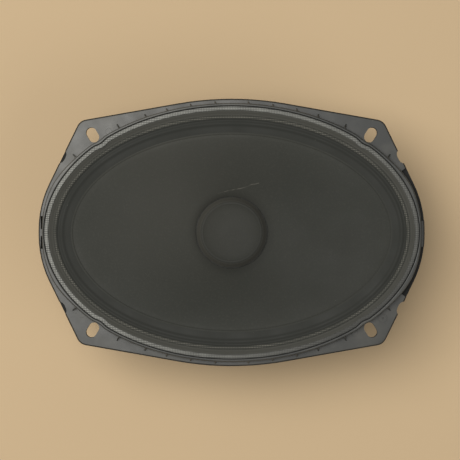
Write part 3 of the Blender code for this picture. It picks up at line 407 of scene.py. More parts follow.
class Shader:
    """A Principled material and short ways to add nodes to it."""

    def __init__(self, name, colour, roughness, metallic=0.0):
        self.material = bpy.data.materials.new(name)
        self.material.use_nodes = True
        self.tree = self.material.node_tree
        self.surface = self.tree.nodes["Principled BSDF"]
        self.set("Base Color", (*colour, 1.0))
        self.set("Roughness", roughness)
        self.set("Metallic", metallic)
        self.colour = None
        self.roughness = None
        self.height = None
        self.base = (*colour, 1.0)
        self.base_roughness = roughness
        self.coordinates = self.node("ShaderNodeTexCoord")

    def set(self, socket, value):
        self.surface.inputs[socket].default_value = value

    def node(self, kind, **settings):
        made = self.tree.nodes.new(kind)
        for key, value in settings.items():
            setattr(made, key, value)
        return made

    def link(self, source, target):
        self.tree.links.new(source, target)

    def noise(self, scale, detail=4.0, stretch=None):
        texture = self.node("ShaderNodeTexNoise")
        texture.inputs["Scale"].default_value = scale
        texture.inputs["Detail"].default_value = detail
        source = self.coordinates.outputs["Object"]
        if stretch:
            mapping = self.node("ShaderNodeMapping")
            mapping.inputs["Scale"].default_value = stretch
            self.link(source, mapping.inputs["Vector"])
            source = mapping.outputs["Vector"]
        self.link(source, texture.inputs["Vector"])
        return texture.outputs["Fac"]

    def math(self, operation, first, second=None):
        made = self.node("ShaderNodeMath", operation=operation)
        for socket, value in zip(made.inputs, (first, second)):
            if isinstance(value, bpy.types.NodeSocket):
                self.link(value, socket)
            elif value is not None:
                socket.default_value = value
        return made.outputs["Value"]

    def ramp(self, value, low, high, out_low=0.0, out_high=1.0):
        made = self.node("ShaderNodeMapRange", clamp=True)
        self.link(value, made.inputs["Value"])
        settings = (("From Min", low), ("From Max", high), ("To Min", out_low), ("To Max", out_high))
        for key, number in settings:
            made.inputs[key].default_value = number
        return made.outputs["Result"]

    def tint(self, share, colour):
        """Mixes a colour in over what is there, by the share."""
        made = self.node("ShaderNodeMix", data_type="RGBA")
        self.link(share, made.inputs["Factor"])
        if self.colour is None:
            made.inputs["A"].default_value = self.base
        else:
            self.link(self.colour, made.inputs["A"])
        made.inputs["B"].default_value = (*colour, 1.0)
        self.colour = made.outputs["Result"]
        self.link(self.colour, self.surface.inputs["Base Color"])

    def roughen(self, value):
        """Adds the value to the roughness."""
        before = self.base_roughness if self.roughness is None else self.roughness
        self.roughness = self.math("ADD", value, before)
        self.link(self.roughness, self.surface.inputs["Roughness"])

    def relief(self, height, depth, strength=1.0):
        """Adds a bump of that depth, in metres, on top of what is there."""
        made = self.node("ShaderNodeBump")
        made.inputs["Distance"].default_value = depth
        made.inputs["Strength"].default_value = strength
        self.link(height, made.inputs["Height"])
        if self.height is not None:
            self.link(self.height, made.inputs["Normal"])
        self.height = made.outputs["Normal"]
        self.link(self.height, self.surface.inputs["Normal"])

    def cloud(self, scale, detail, low, high, most, colour):
        """Mixes a colour in where the noise is high."""
        self.tint(self.ramp(self.noise(scale, detail), low, high, 0.0, most), colour)

    def smears(self, scale, detail, least, most):
        """Roughness that wanders by those amounts."""
        self.roughen(self.ramp(self.noise(scale, detail), 0.3, 0.7, least, most))

    def grain(self, scale, detail, depth, strength, stretch=None):
        """A bump from noise."""
        self.relief(self.noise(scale, detail, stretch), depth, strength)

    def split(self, source):
        """The X, Y and Z of a vector output."""
        parts = self.node("ShaderNodeSeparateXYZ")
        self.link(source, parts.inputs["Vector"])
        return parts.outputs

    def weave(self, pitch, squeeze=WARP_SHARE):
        """Thread crossings as dots from 0 to 1. The threads run along X and Y: the cloth was cut flat."""
        place = self.split(self.coordinates.outputs["Object"])
        warp = self.math("COSINE", self.math("MULTIPLY", place["X"], FULL_TURN / pitch / squeeze))
        weft = self.math("COSINE", self.math("MULTIPLY", place["Y"], FULL_TURN / pitch))
        both = self.math("MULTIPLY", self.math("ADD", warp, 1.0), self.math("ADD", weft, 1.0))
        return self.math("MULTIPLY", both, 0.25)

    def across(self, start, end):
        """0 to 1 over a stretch of the section, measured from its first loop."""
        return self.ramp(self.split(self.coordinates.outputs["UV"])["Y"], start, end)

    def near_point(self, far, near, most, centre=(0.0, 0.0)):
        """Grows from 0 at the far distance to the most at the near one, round a point in plan."""
        mapping = self.node("ShaderNodeMapping")
        mapping.inputs["Scale"].default_value = (1, 1, 0)
        mapping.inputs["Location"].default_value = (-centre[0], -centre[1], 0)
        self.link(self.coordinates.outputs["Object"], mapping.inputs["Vector"])
        length = self.node("ShaderNodeVectorMath", operation="LENGTH")
        self.link(mapping.outputs["Vector"], length.inputs[0])
        return self.ramp(length.outputs["Value"], far, near, 0.0, most)

    def band(self, inner, outer, most):
        """A ring in plan. Each pair of radii runs from where an edge is nothing to where it is full."""
        return self.math("MULTIPLY", self.near_point(*outer, most), self.near_point(*inner, 1.0))

    def specks(self, cell, size, colour, share=0.5):
        """Scattered specks: one in some of the cells, of about the given size."""
        spots = self.node("ShaderNodeTexVoronoi")
        spots.inputs["Scale"].default_value = 1 / cell
        self.link(self.coordinates.outputs["Object"], spots.inputs["Vector"])
        near = self.ramp(spots.outputs["Distance"], size / cell, size / cell * 0.6)
        parts = self.node("ShaderNodeSeparateColor")
        self.link(spots.outputs["Color"], parts.inputs["Color"])
        picked = self.math("LESS_THAN", parts.outputs["Red"], share)
        self.tint(self.math("MULTIPLY", near, picked), colour)


def darker(colour, share):
    return tuple(channel * share for channel in colour)


def plastic_material(name, colour, dust, roughness=0.42):
    """Moulded black plastic: fine grain, cloudy flow marks, worn spots, settled dust, a painted reflection
    towards the upper left and painted shade in the recesses and on the chamfer.
    """
    shader = Shader(name, colour, roughness)
    clouds = shader.noise(22, 5)
    shader.tint(shader.ramp(clouds, 0.42, 0.7, 0.0, 0.2), darker(dust, 0.3))
    facing = shader.node("ShaderNodeNewGeometry")
    upward = shader.ramp(shader.split(facing.outputs["Normal"])["Z"], 0.7, 1.0)
    patches = shader.ramp(shader.noise(60, 6), 0.45, 0.75, 0.0, 0.1)
    shader.tint(shader.math("MULTIPLY", upward, patches), dust)
    # Painted reflection: a paler patch in the dust colour towards the upper left, where the ears catch the
    # key light.
    shader.tint(shader.near_point(150 * MM, 20 * MM, 0.12, (-105 * MM, 60 * MM)), dust)
    shader.smears(90, 4, -0.04, 0.08)
    shader.grain(2600, 3, 0.03 * MM, 0.6)
    shader.grain(120, 3, 0.02 * MM, 0.3)
    shader.specks(5 * MM, 0.22 * MM, dust, 0.35)
    # Painted shade: faces between the flange's face and its rear, in the recesses and on the outer chamfer,
    # are darkened and made rougher.
    height = shader.split(shader.coordinates.outputs["Object"])["Z"]
    below_face = shader.ramp(height, FLANGE_FRONT - 0.1 * MM, FLANGE_FRONT - 0.5 * MM)
    above_rear = shader.ramp(height, FLANGE_REAR - 0.3 * MM, FLANGE_REAR)
    recess_painted_shade = shader.math("MULTIPLY", below_face, above_rear)
    shader.tint(shader.math("MULTIPLY", recess_painted_shade, 0.85), darker(colour, 0.25))
    shader.roughen(shader.math("MULTIPLY", recess_painted_shade, 0.5))
    return shader.material


SCRATCH = ((-0.0087, 0.0245), (0.017, 0.0307))


def paper_material(name, colour, dust):
    """Felted black paper: short fibres, faint clouds, a few dust specks and a long fine scratch, with
    painted shade round the dust cap, on its shoulder and towards the right, and painted highlights on the
    cap's wall and towards the upper left.
    """
    shader = Shader(name, colour, 0.72)
    shader.set("Specular IOR Level", 0.28)
    shader.cloud(9, 3, 0.35, 0.7, 0.1, darker(dust, 0.3))
    shader.cloud(900, 4, 0.5, 0.8, 0.12, darker(dust, 0.35))
    # Painted shade round the dust cap's foot: darker inside 24 mm of the axis, fading out by 28 mm. The
    # dust cap shares it.
    shader.tint(shader.near_point(28 * MM, 24 * MM, 0.3), darker(colour, 0.5))
    # Painted highlight: the dust cap's sloped wall is lightened with the dust colour.
    cap_wall_highlight = shader.band((19.3 * MM, 19.7 * MM), (22.3 * MM, 21.9 * MM), 0.4)
    shader.tint(cap_wall_highlight, darker(dust, 0.3))
    # Painted shade: a darker band on the dust cap's shoulder, inside its lip.
    cap_shoulder_shade = shader.band((17.2 * MM, 18.4 * MM), (19.6 * MM, 19.2 * MM), 0.5)
    shader.tint(cap_shoulder_shade, darker(colour, 0.55))
    # Painted highlight towards the upper left of the cone, in the dust colour, and painted shade towards
    # the right.
    painted_highlight_centre, painted_shade_centre = (-40 * MM, 27 * MM), (62 * MM, -18 * MM)
    shader.tint(shader.near_point(75 * MM, 5 * MM, 0.2, painted_highlight_centre), darker(dust, 0.33))
    shader.tint(shader.near_point(70 * MM, 10 * MM, 0.3, painted_shade_centre), darker(colour, 0.6))
    shader.smears(40, 4, -0.04, 0.06)
    shader.grain(1300, 5, 0.05 * MM, 0.5)
    shader.grain(3200, 3, 0.03 * MM, 0.5)
    shader.specks(9 * MM, 0.14 * MM, darker(dust, 0.8), 0.16)
    shader.specks(4.1 * MM, 0.08 * MM, darker(dust, 0.6), 0.14)
    add_scratch(shader, *SCRATCH, 0.3 * MM, darker(dust, 0.4))
    return shader.material


def add_scratch(shader, start, end, width, colour):
    """A pale fine line between two points in plan."""
    run = Vector(end) - Vector(start)
    mapping = shader.node("ShaderNodeMapping", vector_type="TEXTURE")
    mapping.inputs["Location"].default_value = (*start, 0)
    mapping.inputs["Rotation"].default_value = (0, 0, math.atan2(run.y, run.x))
    shader.link(shader.coordinates.outputs["Object"], mapping.inputs["Vector"])
    place = shader.split(mapping.outputs["Vector"])
    sway = shader.ramp(shader.noise(70, 2), 0.3, 0.7, -0.6 * MM, 0.6 * MM)
    aside = shader.math("ABSOLUTE", shader.math("ADD", place["Y"], sway))
    on_line = shader.ramp(aside, width, width * 0.3)
    after_start = shader.math("GREATER_THAN", place["X"], 0.0)
    before_end = shader.math("LESS_THAN", place["X"], run.length)
    broken = shader.ramp(shader.noise(260, 2), 0.45, 0.6, 0.15, 0.75)
    inside = shader.math("MULTIPLY", shader.math("MULTIPLY", after_start, before_end), broken)
    shader.tint(shader.math("MULTIPLY", on_line, inside), colour)


def treated_cloth_material(name, colour, dust, pitch):
    """Black cloth under a thin treatment: the weave shows through, with painted highlights on the threads
    of the bead's crest.
    """
    shader = Shader(name, colour, 0.7)
    shader.set("Specular IOR Level", 0.25)
    shader.set("Sheen Weight", 0.08)
    shader.set("Sheen Roughness", 0.5)
    threads = shader.weave(pitch)
    highlight_patches = shader.ramp(shader.noise(45, 3), 0.35, 0.6, 0.35, 1.0)
    shader.tint(shader.math("MULTIPLY", shader.across(7.4 * MM, 8.6 * MM), 0.8), darker(colour, 0.6))
    # Painted highlights: pale weave dots on the bead's crest, patchy by noise.
    on_bead = shader.math("MULTIPLY", shader.across(4.6 * MM, 5.4 * MM), shader.across(8.0 * MM, 7.2 * MM))
    shown = shader.math("MULTIPLY", shader.math("MULTIPLY", threads, on_bead), highlight_patches)
    shader.tint(shader.math("MULTIPLY", shown, 0.95), darker(dust, 0.66))
    on_slope = shader.across(5.0 * MM, 4.2 * MM)
    shader.tint(shader.math("MULTIPLY", on_slope, 0.3), darker(dust, 0.3))
    shader.smears(50, 4, -0.08, 0.1)
    shader.relief(shader.math("MULTIPLY", threads, shader.across(9.0 * MM, 7.0 * MM)), 0.07 * MM, 0.7)
    shader.grain(1500, 4, 0.05 * MM, 0.4)
    shader.specks(4.2 * MM, 0.13 * MM, darker(dust, 0.8), 0.25)
    return shader.material


def ring_cloth_material(name, colour, dust, pitch):
    """Grey woven band with ribs across it and pale, slightly fluffy threads."""
    shader = Shader(name, colour, 0.85)
    shader.set("Sheen Weight", 0.3)
    shader.set("Sheen Roughness", 0.4)
    threads = shader.weave(pitch)
    shader.tint(shader.ramp(threads, 0.0, 0.55, 0.9, 0.0), darker(colour, 0.2))
    shader.cloud(140, 4, 0.45, 0.75, 0.3, darker(colour, 1.3))
    shader.cloud(18, 3, 0.45, 0.75, 0.35, darker(colour, 0.6))
    # Painted shade: the ring is darkened strongly towards the lower right, away from the key light.
    shader.tint(shader.near_point(170 * MM, 20 * MM, 0.88, (80 * MM, -45 * MM)), darker(colour, 0.12))
    shader.relief(threads, 0.1 * MM, 0.8)
    shader.grain(2200, 4, 0.06 * MM, 0.7)
    return shader.material


def amber_cloth_material(name, colour, pitch):
    """Open-weave cotton stiffened with resin."""
    shader = Shader(name, colour, 0.7)
    threads = shader.weave(pitch, 1.0)
    shader.tint(shader.ramp(threads, 0.0, 0.5, 0.7, 0.0), darker(colour, 0.35))
    shader.cloud(35, 4, 0.4, 0.7, 0.4, darker(colour, 0.6))
    shader.relief(threads, 0.2 * MM, 0.9)
    shader.grain(1400, 4, 0.06 * MM, 0.5)
    return shader.material


def plated_material(name, colour, roughness=0.34):
    """Zinc-plated steel: fine brushing, cloudy passivation and a few dull spots."""
    shader = Shader(name, colour, roughness, 1.0)
    shader.cloud(28, 4, 0.4, 0.7, 0.5, darker(colour, 0.68))
    shader.cloud(160, 5, 0.58, 0.75, 0.4, (0.42, 0.36, 0.26))
    shader.smears(60, 5, -0.06, 0.16)
    shader.grain(700, 3, 0.03 * MM, 0.4, stretch=(1.0, 1.0, 9.0))
    shader.grain(1800, 3, 0.02 * MM, 0.4)
    return shader.material


def ferrite_material(name, colour):
    """Pressed and ground ferrite: fine pits, faint grinding lines and grey smears."""
    shader = Shader(name, colour, 0.55)
    shader.set("Specular IOR Level", 0.6)
    shader.cloud(30, 5, 0.42, 0.7, 0.6, darker(colour, 1.9))
    shader.cloud(900, 3, 0.6, 0.72, 0.6, darker(colour, 0.3))
    shader.smears(80, 4, -0.1, 0.15)
    shader.grain(1100, 4, 0.07 * MM, 0.6)
    shader.grain(500, 2, 0.03 * MM, 0.4, stretch=(1.0, 12.0, 1.0))
    return shader.material


def wire_material(name, colour):
    """Enamelled copper, a little uneven along each turn."""
    shader = Shader(name, colour, 0.28, 1.0)
    shader.set("Coat Weight", 0.5)
    shader.set("Coat Roughness", 0.15)
    shader.cloud(220, 3, 0.4, 0.7, 0.5, darker(colour, 0.55))
    shader.grain(1600, 2, 0.02 * MM, 0.4)
    return shader.material


def film_material(name, colour):
    """Amber film with faint roll lines."""
    shader = Shader(name, colour, 0.25)
    roll_lines = shader.noise(60, 3, stretch=(1, 1, 6))
    shader.tint(shader.ramp(roll_lines, 0.4, 0.7, 0.0, 0.4), darker(colour, 0.55))
    shader.grain(300, 2, 0.02 * MM, 0.4, stretch=(1, 1, 10))
    return shader.material


def kraft_material(name, colour):
    """Brown wound paper with short fibres."""
    shader = Shader(name, colour, 0.9)
    shader.cloud(700, 5, 0.45, 0.7, 0.5, darker(colour, 0.6))
    shader.grain(900, 5, 0.05 * MM, 0.6)
    return shader.material


def glue_material(name, colour, roughness=0.2):
    """Cured glue: glossy, with slow lumps."""
    shader = Shader(name, colour, roughness)
    shader.set("Coat Weight", 0.04)
    shader.set("Coat Roughness", 0.3)
    shader.cloud(120, 3, 0.4, 0.7, 0.5, darker(colour, 0.5))
    shader.smears(90, 3, -0.04, 0.2)
    shader.grain(260, 3, 0.15 * MM, 0.5)
    return shader.material


def floor_material(name, colour):
    """Plain paper with barely visible fibres."""
    shader = Shader(name, colour, 0.9)
    shader.cloud(6, 3, 0.3, 0.7, 0.08, darker(colour, 0.85))
    shader.grain(400, 4, 0.04 * MM, 0.4)
    return shader.material


FINISHES = {}


def finish_named(name):
    """The finish of that name, made when it is first asked for."""
    if name not in FINISHES:
        colours = bpy.context.scene.speaker_colours
        sizes = bpy.context.scene.speaker_sizes
        dust = tuple(colours.dust)
        makers = {
            "basket_plastic": lambda: plastic_material(name, tuple(colours.basket), dust),
            "socket_plastic": lambda: plastic_material(name, darker(colours.basket, 0.6), dust, 0.38),
            "cone_paper": lambda: paper_material(name, tuple(colours.cone), dust),
            "surround_cloth": lambda: treated_cloth_material(
                name, tuple(colours.surround), dust, sizes.thread_pitch
            ),
            "ring_cloth": lambda: ring_cloth_material(name, tuple(colours.ring), dust, sizes.ring_pitch),
            "spider_cloth": lambda: amber_cloth_material(name, tuple(colours.spider), sizes.spider_pitch),
            "plated_steel": lambda: plated_material(name, tuple(colours.steel)),
            "ferrite": lambda: ferrite_material(name, tuple(colours.ferrite)),
            "former_film": lambda: film_material(name, tuple(colours.film)),
            "copper_wire": lambda: wire_material(name, tuple(colours.copper)),
            "collar_paper": lambda: kraft_material(name, tuple(colours.kraft)),
            "tin_plated_brass": lambda: plated_material(name, tuple(colours.brass), 0.25),
            "solder": lambda: plated_material(name, (0.6, 0.6, 0.6), 0.3),
            "black_glue": lambda: glue_material(name, darker(colours.cone, 0.5), 0.7),
            "floor_paper": lambda: floor_material(name, tuple(colours.floor)),
        }
        FINISHES[name] = makers[name]()
    return FINISHES[name]


# ---------------------------------------------------------------- pieces


def smooth_run(points, steps):
    """A smooth curve through the points, as (offset, height) pairs."""
    places = [Vector(point) for point in points]
    padded = [2 * places[0] - places[1]] + places + [2 * places[-1] - places[-2]]
    found = []
    for before, start, end, after in zip(padded, padded[1:], padded[2:], padded[3:]):
        for step in range(steps):
            u = step / steps
            bend = (2 * u**3 - 3 * u**2 + 1) * start + (u**3 - 2 * u**2 + u) * (end - before) / 2
            found.append(bend + (3 * u**2 - 2 * u**3) * end + (u**3 - u**2) * (after - start) / 2)
    found.append(places[-1])
    return found


def section_loops(section, count):
    """Loops round the oval from a section that changes on the way: section(t) lists (offset, height)."""
    known = {}

    def place(number):
        def at(t):
            if t not in known:
                known[t] = section(t)
            offset, height = known[t][number]
            x, y = oval_point(t, offset)
            return Vector((x, y, height))

        return at

    return [place(number) for number in range(count)]


def merged_copy(node):
    """A bmesh of the CAD node with its loose triangles joined and its flat faces made whole."""
    bm = bmesh.new()
    bm.from_mesh(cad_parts[node].data)
    bmesh.ops.remove_doubles(bm, verts=bm.verts, dist=2e-6)
    bmesh.ops.dissolve_limit(bm, angle_limit=math.radians(0.6), verts=bm.verts, edges=bm.edges)
    for layer in list(bm.loops.layers.uv):
        bm.loops.layers.uv.remove(layer)
    return bm


def add_rim(bm):
    """The raised rim and the ledge inside it, with moulded corners."""
    rim_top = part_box("basket")[1].z
    corner = bpy.context.scene.speaker_sizes.edge_round

    def section(t):
        width = rim_width(t)
        inner = 0.5 * MM - screw_dip(t)
        outline = [
            (-2.5 * MM, RIM_FOOT),
            (width + 0.32 * MM, RIM_FOOT),
            (width + 0.1 * MM, rim_top - 0.5 * MM),
            (width - 0.4 * MM, rim_top),
            (inner, rim_top),
            (inner, LEDGE_TOP),
            (-2.5 * MM, LEDGE_TOP),
        ]
        return rounded_profile(outline, corner, 2)

    parameters = even_parameters(720)
    rim = skin_round(section_loops(section, 21), parameters, closed=True)
    bmesh.ops.recalc_face_normals(rim, faces=rim.faces)
    join_into(bm, rim)


def join_into(bm, other):
    mesh = bpy.data.meshes.new("joined")
    other.to_mesh(mesh)
    other.free()
    bm.from_mesh(mesh)
    bpy.data.meshes.remove(mesh)


GUSSETS = ((35.0, 3.0), (53.5, 3.0), (63.0, 2.2), (70.0, 1.9), (77.5, 1.7), (85.0, 1.6))


def add_gussets(bm):
    """The small ribs that brace the rim from outside."""
    for degrees, length in GUSSETS:
        t = math.radians(degrees)
        foot = rim_width(t) - 0.3 * MM
        reach = foot + (length + 0.6) * MM
        outline = (
            (foot, RIM_FOOT),
            (reach, RIM_FOOT),
            (reach - 0.2 * MM, RIM_FOOT + 0.7 * MM),
            (foot + 0.7 * MM, RIM_FOOT + 4 * MM),
            (foot, RIM_FOOT + 4 * MM),
        )
        normal = (oval_point(t, MM) - oval_point(t, 0)).normalized()
        across = Vector((-normal.y, normal.x, 0)) * 0.35 * MM
        for mirror in ((1, 1), (1, -1), (-1, 1), (-1, -1)):
            turn = Matrix.Diagonal((*mirror, 1, 1))
            points = [(*oval_point(t, offset), height) for offset, height in outline]
            points = [turn @ (Vector(point) - across) for point in points]
            verts = raise_outline(bm, points, turn @ (2 * across))
            faces = {face for vert in verts for face in vert.link_faces}
            bmesh.ops.recalc_face_normals(bm, faces=list(faces))
            round_edges(bm, verts, 0.12 * MM)


def add_mould_marks(bm):
    """Plain marks of the mould: a date clock's ring with its centre pin, ejector rings and a tick."""
    marks = (
        ((92.5, -52.5), 2.9, 2.45, 0.16),
        ((92.5, -52.5), 0.55, 0.0, 0.2),
        ((-75.0, 61.5), 2.2, 1.9, 0.12),
        ((75.0, -61.5), 2.2, 1.9, 0.12),
        ((-96.0, -48.0), 1.6, 1.3, 0.12),
    )
    for (x, y), outer, inner, height in marks:
        top = FLANGE_FRONT + height * MM
        bottom = FLANGE_FRONT - 0.1 * MM
        ridge = [(outer * MM, bottom), (outer * MM - 0.08 * MM, top)]
        ridge += [(inner * MM + 0.08 * MM, top), (inner * MM, bottom)]
        if inner == 0:
            ridge = [(outer * MM, bottom), (outer * MM - 0.1 * MM, top), (0, top + 0.05 * MM)]
        ring = bmesh.new()
        spin_profile(ring, ridge, 32)
        bmesh.ops.translate(ring, verts=ring.verts, vec=(x * MM, y * MM, 0))
        bmesh.ops.recalc_face_normals(ring, faces=ring.faces)
        join_into(bm, ring)
    low = (-92.6 * MM, -52.15 * MM, FLANGE_FRONT - 0.1 * MM)
    high = (-90.6 * MM, -51.85 * MM, FLANGE_FRONT + 0.14 * MM)
    add_box(bm, low, high, 0.05 * MM)


class SPEAKER_OT_basket(bpy.types.Operator):
    """Build the moulded basket with its rim, gussets and mould marks"""

    bl_idname = "speaker.basket"
    bl_label = "Basket"

    def execute(self, context):
        bm = merged_copy("basket")
        plane = FLANGE_FRONT + 0.03 * MM
        everything = list(bm.verts) + list(bm.edges) + list(bm.faces)
        cut = bmesh.ops.bisect_plane(
            bm, geom=everything, dist=1e-7, plane_co=(0, 0, plane), plane_no=(0, 0, 1), clear_outer=True
        )["geom_cut"]
        edges = [item for item in cut if isinstance(item, bmesh.types.BMEdge) and len(item.link_faces) == 1]
        bmesh.ops.triangle_fill(bm, edges=edges, use_beauty=True)
        bmesh.ops.recalc_face_normals(bm, faces=bm.faces)
        add_rim(bm)
        add_gussets(bm)
        add_mould_marks(bm)
        mesh = bpy.data.meshes.new("moulded_basket")
        bm.to_mesh(mesh)
        bm.free()
        mesh.materials.append(finish_named("basket_plastic"))
        mesh.shade_smooth()
        mesh.set_sharp_from_angle(angle=math.radians(32))
        for polygon in mesh.polygons:
            if abs(polygon.normal.z) > 0.9995 or polygon.area > 3e-5:
                polygon.use_smooth = False
        piece = bpy.data.objects.new("moulded_basket", mesh)
        context.scene.collection.objects.link(piece)
        show(piece, FIXED, "basket_plastic", "basket")
        return {"FINISHED"}


CONE_STEPS = 40
CONE_ROUND_RADIUS = 22.6 * MM
CONE_EDGE_OFFSET = -16.8 * MM


CONE_REACH = 0.97  # The share of the way to its edge where the slope gives way to the fillet
CONE_FOOT = 50.2 * MM
CONE_RISE = 22.7 * MM
CONE_CURVE = 1.3


def cone_height(share):
    return CONE_FOOT + CONE_RISE * (1 - (1 - share) ** CONE_CURVE)


class SPEAKER_OT_cone(bpy.types.Operator):
    """Build the paper cone, round at its neck and oval at its edge"""

    bl_idname = "speaker.cone"
    bl_label = "Cone"

    def execute(self, context):
        neck = metres((16.7, 47.0), (19.6, 48.6), (22.2, 49.95))
        loops = [round_loop(radius, height) for radius, height in neck]
        for number in range(CONE_STEPS + 1):
            share = (number / CONE_STEPS) * CONE_REACH
            loops.append(round_to_oval(CONE_ROUND_RADIUS, CONE_EDGE_OFFSET, share, cone_height(share)))
        fillet = metres((-16.95, 72.6), (-16.5, 72.98), (-16.0, 73.14), (-15.2, 73.2), (-12.3, 73.2))
        loops += [along_oval(offset, height) for offset, height in fillet]
        bm = skin_round(loops, even_parameters(480))
        piece = mesh_object("paper_cone", bm, finish_named("cone_paper"), face_up=True)
        add_wall(piece, 0.8 * MM)
        show(piece, MOVING, "cone_paper", "cone")
        return {"FINISHED"}


class SPEAKER_OT_dust_cap(bpy.types.Operator):
    """Build the dished dust cap and the bead of glue round its foot"""

    bl_idname = "speaker.dust_cap"
    bl_label = "Dust cap"

    def execute(self, context):
        sizes = context.scene.speaker_sizes
        thickness = 0.8 * MM
        wall = [(22.2, 50.75), (21.0, 52.9), (19.95, 54.9), (19.3, 55.6), (18.6, 55.92), (17.9, 55.85)]
        dish = [(17.2, 55.45), (15.2, 54.6), (12.1, 53.75), (8.5, 53.08), (5.0, 52.74), (2.0, 52.62)]
        dish.append((0.0, 52.6))
        outer = [(max(0.0, r) * MM, z * MM) for r, z in smooth_run(wall + dish, 4)]
        outer[-1] = (0.0, outer[-1][1])
        under = [(max(0.0, radius - 0.5 * thickness), height - thickness) for radius, height in outer[3:]]
        profile = under[::-1] + [(21.3 * MM, 50.75 * MM)] + outer
        bm = bmesh.new()
        spin_profile(bm, profile, 144)
        cap = mesh_object("dished_dust_cap", bm, finish_named("cone_paper"))
        show(cap, MOVING, "cone_paper", "dust_cap")
        self.add_bead(sizes.glue_height)
        return {"FINISHED"}

    def add_bead(self, radius):
        bm = bmesh.new()
        profile = [
            (22.25 * MM + radius * math.cos(a), 50.45 * MM + radius * math.sin(a))
            for a in np.linspace(0, FULL_TURN, 13)[:-1].tolist()
        ]
        spin_profile(bm, profile, 180)
        for vert in bm.verts:
            angle = math.atan2(vert.co.y, vert.co.x)
            swell = 1 + 0.006 * math.sin(7 * angle + 1) + 0.005 * math.sin(17 * angle)
            vert.co.x *= swell
            vert.co.y *= swell
        bead = mesh_object("dust_cap_glue", bm, finish_named("black_glue"))
        show(bead, MOVING, "cone_paper")


class SPEAKER_OT_surround(bpy.types.Operator):
    """Build the pleated cloth surround between the basket and the cone"""

    bl_idname = "speaker.surround"
    bl_label = "Surround"

    def execute(self, context):
        thickness = 0.5 * MM
        glued_edge = ((-0.85, 75.6), (-1.9, 75.6), (-2.9, 75.42))
        slope = ((-4.0, 74.68), (-4.9, 74.35), (-5.5, 74.95))
        bead = ((-6.2, 75.7), (-6.9, 75.3), (-7.6, 74.2), (-8.4, 73.9))
        inner_roll = ((-9.2, 74.2), (-10.0, 74.45), (-10.8, 74.15), (-11.6, 73.6))
        foot = ((-12.3, 73.36), (-14.0, 73.27), (-15.6, 73.1), (-16.3, 72.86))
        under = smooth_run(metres(*glued_edge, *slope, *bead, *inner_roll, *foot), 3)
        inner_end, full_from, thinnest = -16.3 * MM, -12.0 * MM, 0.08
        rise = [(offset - inner_end) / (full_from - inner_end) for offset, _ in under]
        feather = [min(1.0, max(thinnest, share)) for share in rise]
        top = [(offset, height + thickness * share) for (offset, height), share in zip(under, feather)]
        section = top + [(offset, height) for offset, height in reversed(under)]
        loops = [along_oval(offset, height) for offset, height in section]
        held_to, carried_from = -2.4 * MM, -12.0 * MM
        shares = [(offset - held_to) / (carried_from - held_to) for offset, _ in section]
        give = [min(1.0, max(0.0, share)) for share in shares]
        bm = skin_round(loops, even_parameters(640), closed=True, give=give)
        piece = mesh_object("pleated_surround", bm, finish_named("surround_cloth"), sharp=100)
        show_bending(piece, "surround_cloth", "surround")
        return {"FINISHED"}


class SPEAKER_OT_edge_ring(bpy.types.Operator):
    """Build the ribbed cloth ring on the surround's outer edge"""

    bl_idname = "speaker.edge_ring"
    bl_label = "Edge ring"

    def execute(self, context):
        sizes = context.scene.speaker_sizes
        low = RING_LOW.z
        high = RING_HIGH.z
        ribs = round(oval_length() / sizes.ring_pitch)
        parameters = even_parameters(ribs * 4)
        order = {t: number for number, t in enumerate(parameters)}
        order[0.0] = 0

        def section(t):
            lift = sizes.ring_ripple * (0, 1, 0, -1)[order[t] % 4]
            inner = -2.2 * MM - screw_dip(t)
            outer = -screw_dip(t)
            top = high - sizes.ring_ripple + lift
            return [
                (outer, low),
                (outer, top - 0.3 * MM),
                (outer - 0.3 * MM, top),
                (inner + 0.8 * MM, top),
                (inner + 0.3 * MM, top - 0.04 * MM),
                (inner, top - 0.34 * MM),
                (inner, low),
            ]

        bm = skin_round(section_loops(section, 7), parameters, closed=True)
        piece = mesh_object("woven_edge_ring", bm, finish_named("ring_cloth"), sharp=70)
        show(piece, FIXED, "ring_cloth", "edge_ring")
        self.add_glue_line()
        return {"FINISHED"}

    def add_glue_line(self):
        """Glue squeezed out between the ring and the rim."""

        def section(t):
            middle = 0.25 * MM - screw_dip(t)
            swell = 0.06 * MM * math.sin(23 * t) + 0.05 * MM * math.sin(41 * t + 2)
            height = 75.5 * MM
            return [
                (middle - 0.23 * MM, height),
                (middle + 0.23 * MM, height),
                (middle + 0.23 * MM, height + 0.9 * MM + swell),
                (middle, height + 1.15 * MM + swell),
                (middle - 0.23 * MM, height + 0.9 * MM + swell),
            ]

        bm = skin_round(section_loops(section, 5), even_parameters(480), closed=True)
        line = mesh_object("rim_glue", bm, finish_named("black_glue"), sharp=180)
        show(line, FIXED, "surround_cloth")


class SPEAKER_OT_spider(bpy.types.Operator):
    """Build the corrugated spider between the ledge and the former"""

    bl_idname = "speaker.spider"
    bl_label = "Spider"

    def execute(self, context):
        thickness = 0.5 * MM
        plane = 40.3 * MM + thickness
        neck = metres((17.15, 2.4), (17.25, 1.6), (17.6, 0.8), (18.3, 0.2))
        sections = [(radius, plane + height) for radius, height in neck]
        inner_fold, outer_fold = 19 * MM, 46 * MM
        steps = 60
        for number in range(steps + 1):
            share = number / steps
            radius = inner_fold + (outer_fold - inner_fold) * share
            sections.append((radius, plane + 1.5 * MM * (0.5 - 0.5 * math.cos(FULL_TURN * 3 * share))))
        sections += [(50 * MM, plane), (56 * MM, plane)]
        loops = [round_loop(radius, height) for radius, height in sections]
        shares = [(outer_fold - radius) / (outer_fold - inner_fold) for radius, _ in sections]
        give = [min(1.0, max(0.0, share)) for share in shares]
        bm = skin_round(loops, np.linspace(0, FULL_TURN, 241)[:-1].tolist(), give=give)
        piece = mesh_object("corrugated_spider", bm, finish_named("spider_cloth"), sharp=180, face_up=True)
        add_wall(piece, thickness)
        show_bending(piece, "spider_cloth", "spider")
        return {"FINISHED"}


